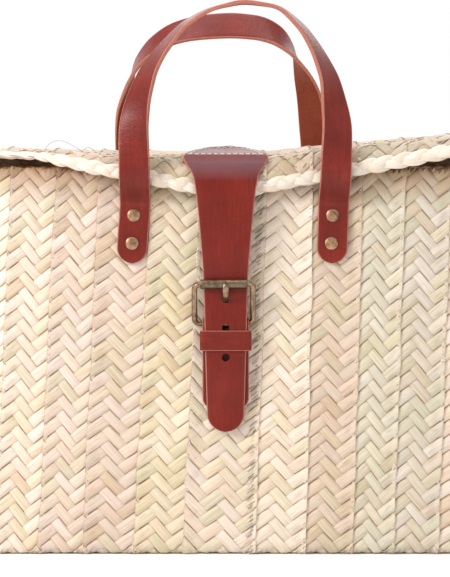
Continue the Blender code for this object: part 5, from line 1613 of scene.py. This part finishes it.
def stage():
    # a pale floor, flat under and around the basket
    line = [(-1.6, 0.0), (0.9, 0.0)]
    xs = np.linspace(-1800, 1800, 3)
    ys = list(np.linspace(-1500, 1500, 7))
    points = [(x, y, -0.3) for y in ys for x in xs]
    quads = [(r * 3 + c, r * 3 + c + 1, (r + 1) * 3 + c + 1, (r + 1) * 3 + c) for r in range(len(ys) - 1) for c in range(2)]
    n = Nodes("floor_pale")
    n.link(n.ramp(n.noise(n.object_coords(), 14.0, 2.0), ((0.3, (0.86, 0.86, 0.86)), (0.7, (0.88, 0.88, 0.88)))), n.shader.inputs["Base Color"])
    n.shader.inputs["Roughness"].default_value = 0.7
    floor = make("floor", points, quads, (), [n.material])

    world = bpy.data.worlds.new("studio")
    bpy.context.scene.world = world
    world.use_nodes = True
    world.node_tree.nodes["Background"].inputs["Color"].default_value = (1.0, 1.0, 1.0, 1.0)
    world.node_tree.nodes["Background"].inputs["Strength"].default_value = 1.0

    def area(name, where, aim, size, power, colour=(1.0, 1.0, 1.0)):
        light = bpy.data.lights.new(name, "AREA")
        light.shape = "RECTANGLE"
        light.size, light.size_y = size
        light.energy = power
        light.color = colour
        thing = bpy.data.objects.new(name, light)
        bpy.context.scene.collection.objects.link(thing)
        thing.location = where
        thing.rotation_euler = (Vector(aim) - Vector(where)).to_track_quat("-Z", "Y").to_euler()
        return thing

    # Faint light inside the basket, as comes through thin straw.
    area("inside", (0.0, 0.0, 0.205), (0.0, 0.06, 0.262), (0.38, 0.02), 0.16, (1.0, 0.66, 0.46)).visible_camera = False
    area("key", (-1.6, -1.2, 1.2), (0, 0, 0.2), (0.6, 0.6), 38.0)
    area("top", (0.0, -0.15, 1.55), (0, 0, 0.25), (1.3, 0.7), 12.0)
    area("fill", (1.5, -1.3, 0.7), (0, 0, 0.18), (1.2, 1.2), 2.0)
    area("back", (0.2, 1.3, 1.2), (0, 0, 0.25), (1.4, 0.8), 6.0)

    camera = bpy.data.cameras.new("camera")
    thing = bpy.data.objects.new("camera", camera)
    bpy.context.scene.collection.objects.link(thing)
    aim = Vector((-0.0029, -0.075, 0.196))
    up = math.radians(4.0)
    thing.location = aim + Vector((0.0, -1.7 * math.cos(up), 1.7 * math.sin(up)))
    thing.rotation_euler = (aim - thing.location).to_track_quat("-Z", "Y").to_euler()
    camera.sensor_fit = "VERTICAL"
    camera.sensor_height = 36.0
    camera.lens = 36.0 * 1.7 / 0.421
    camera.clip_start = 0.05
    bpy.context.scene.camera = thing
    settings = bpy.context.scene.view_settings
    settings.view_transform = "Standard"
    settings.look = "None"
    settings.exposure = 0.0
    settings.gamma = 1.0


build_body()
build_sides()
build_flap()
build_rims()
build_handle("front", -1, FRONT_LEGS, FRONT_LINE, FRONT_STANCE)
build_handle("rear", 1, REAR_LEGS, REAR_LINE, REAR_STANCE)
build_rivets()
build_closure()
build_buckle_strap()
build_buckle()
stage()
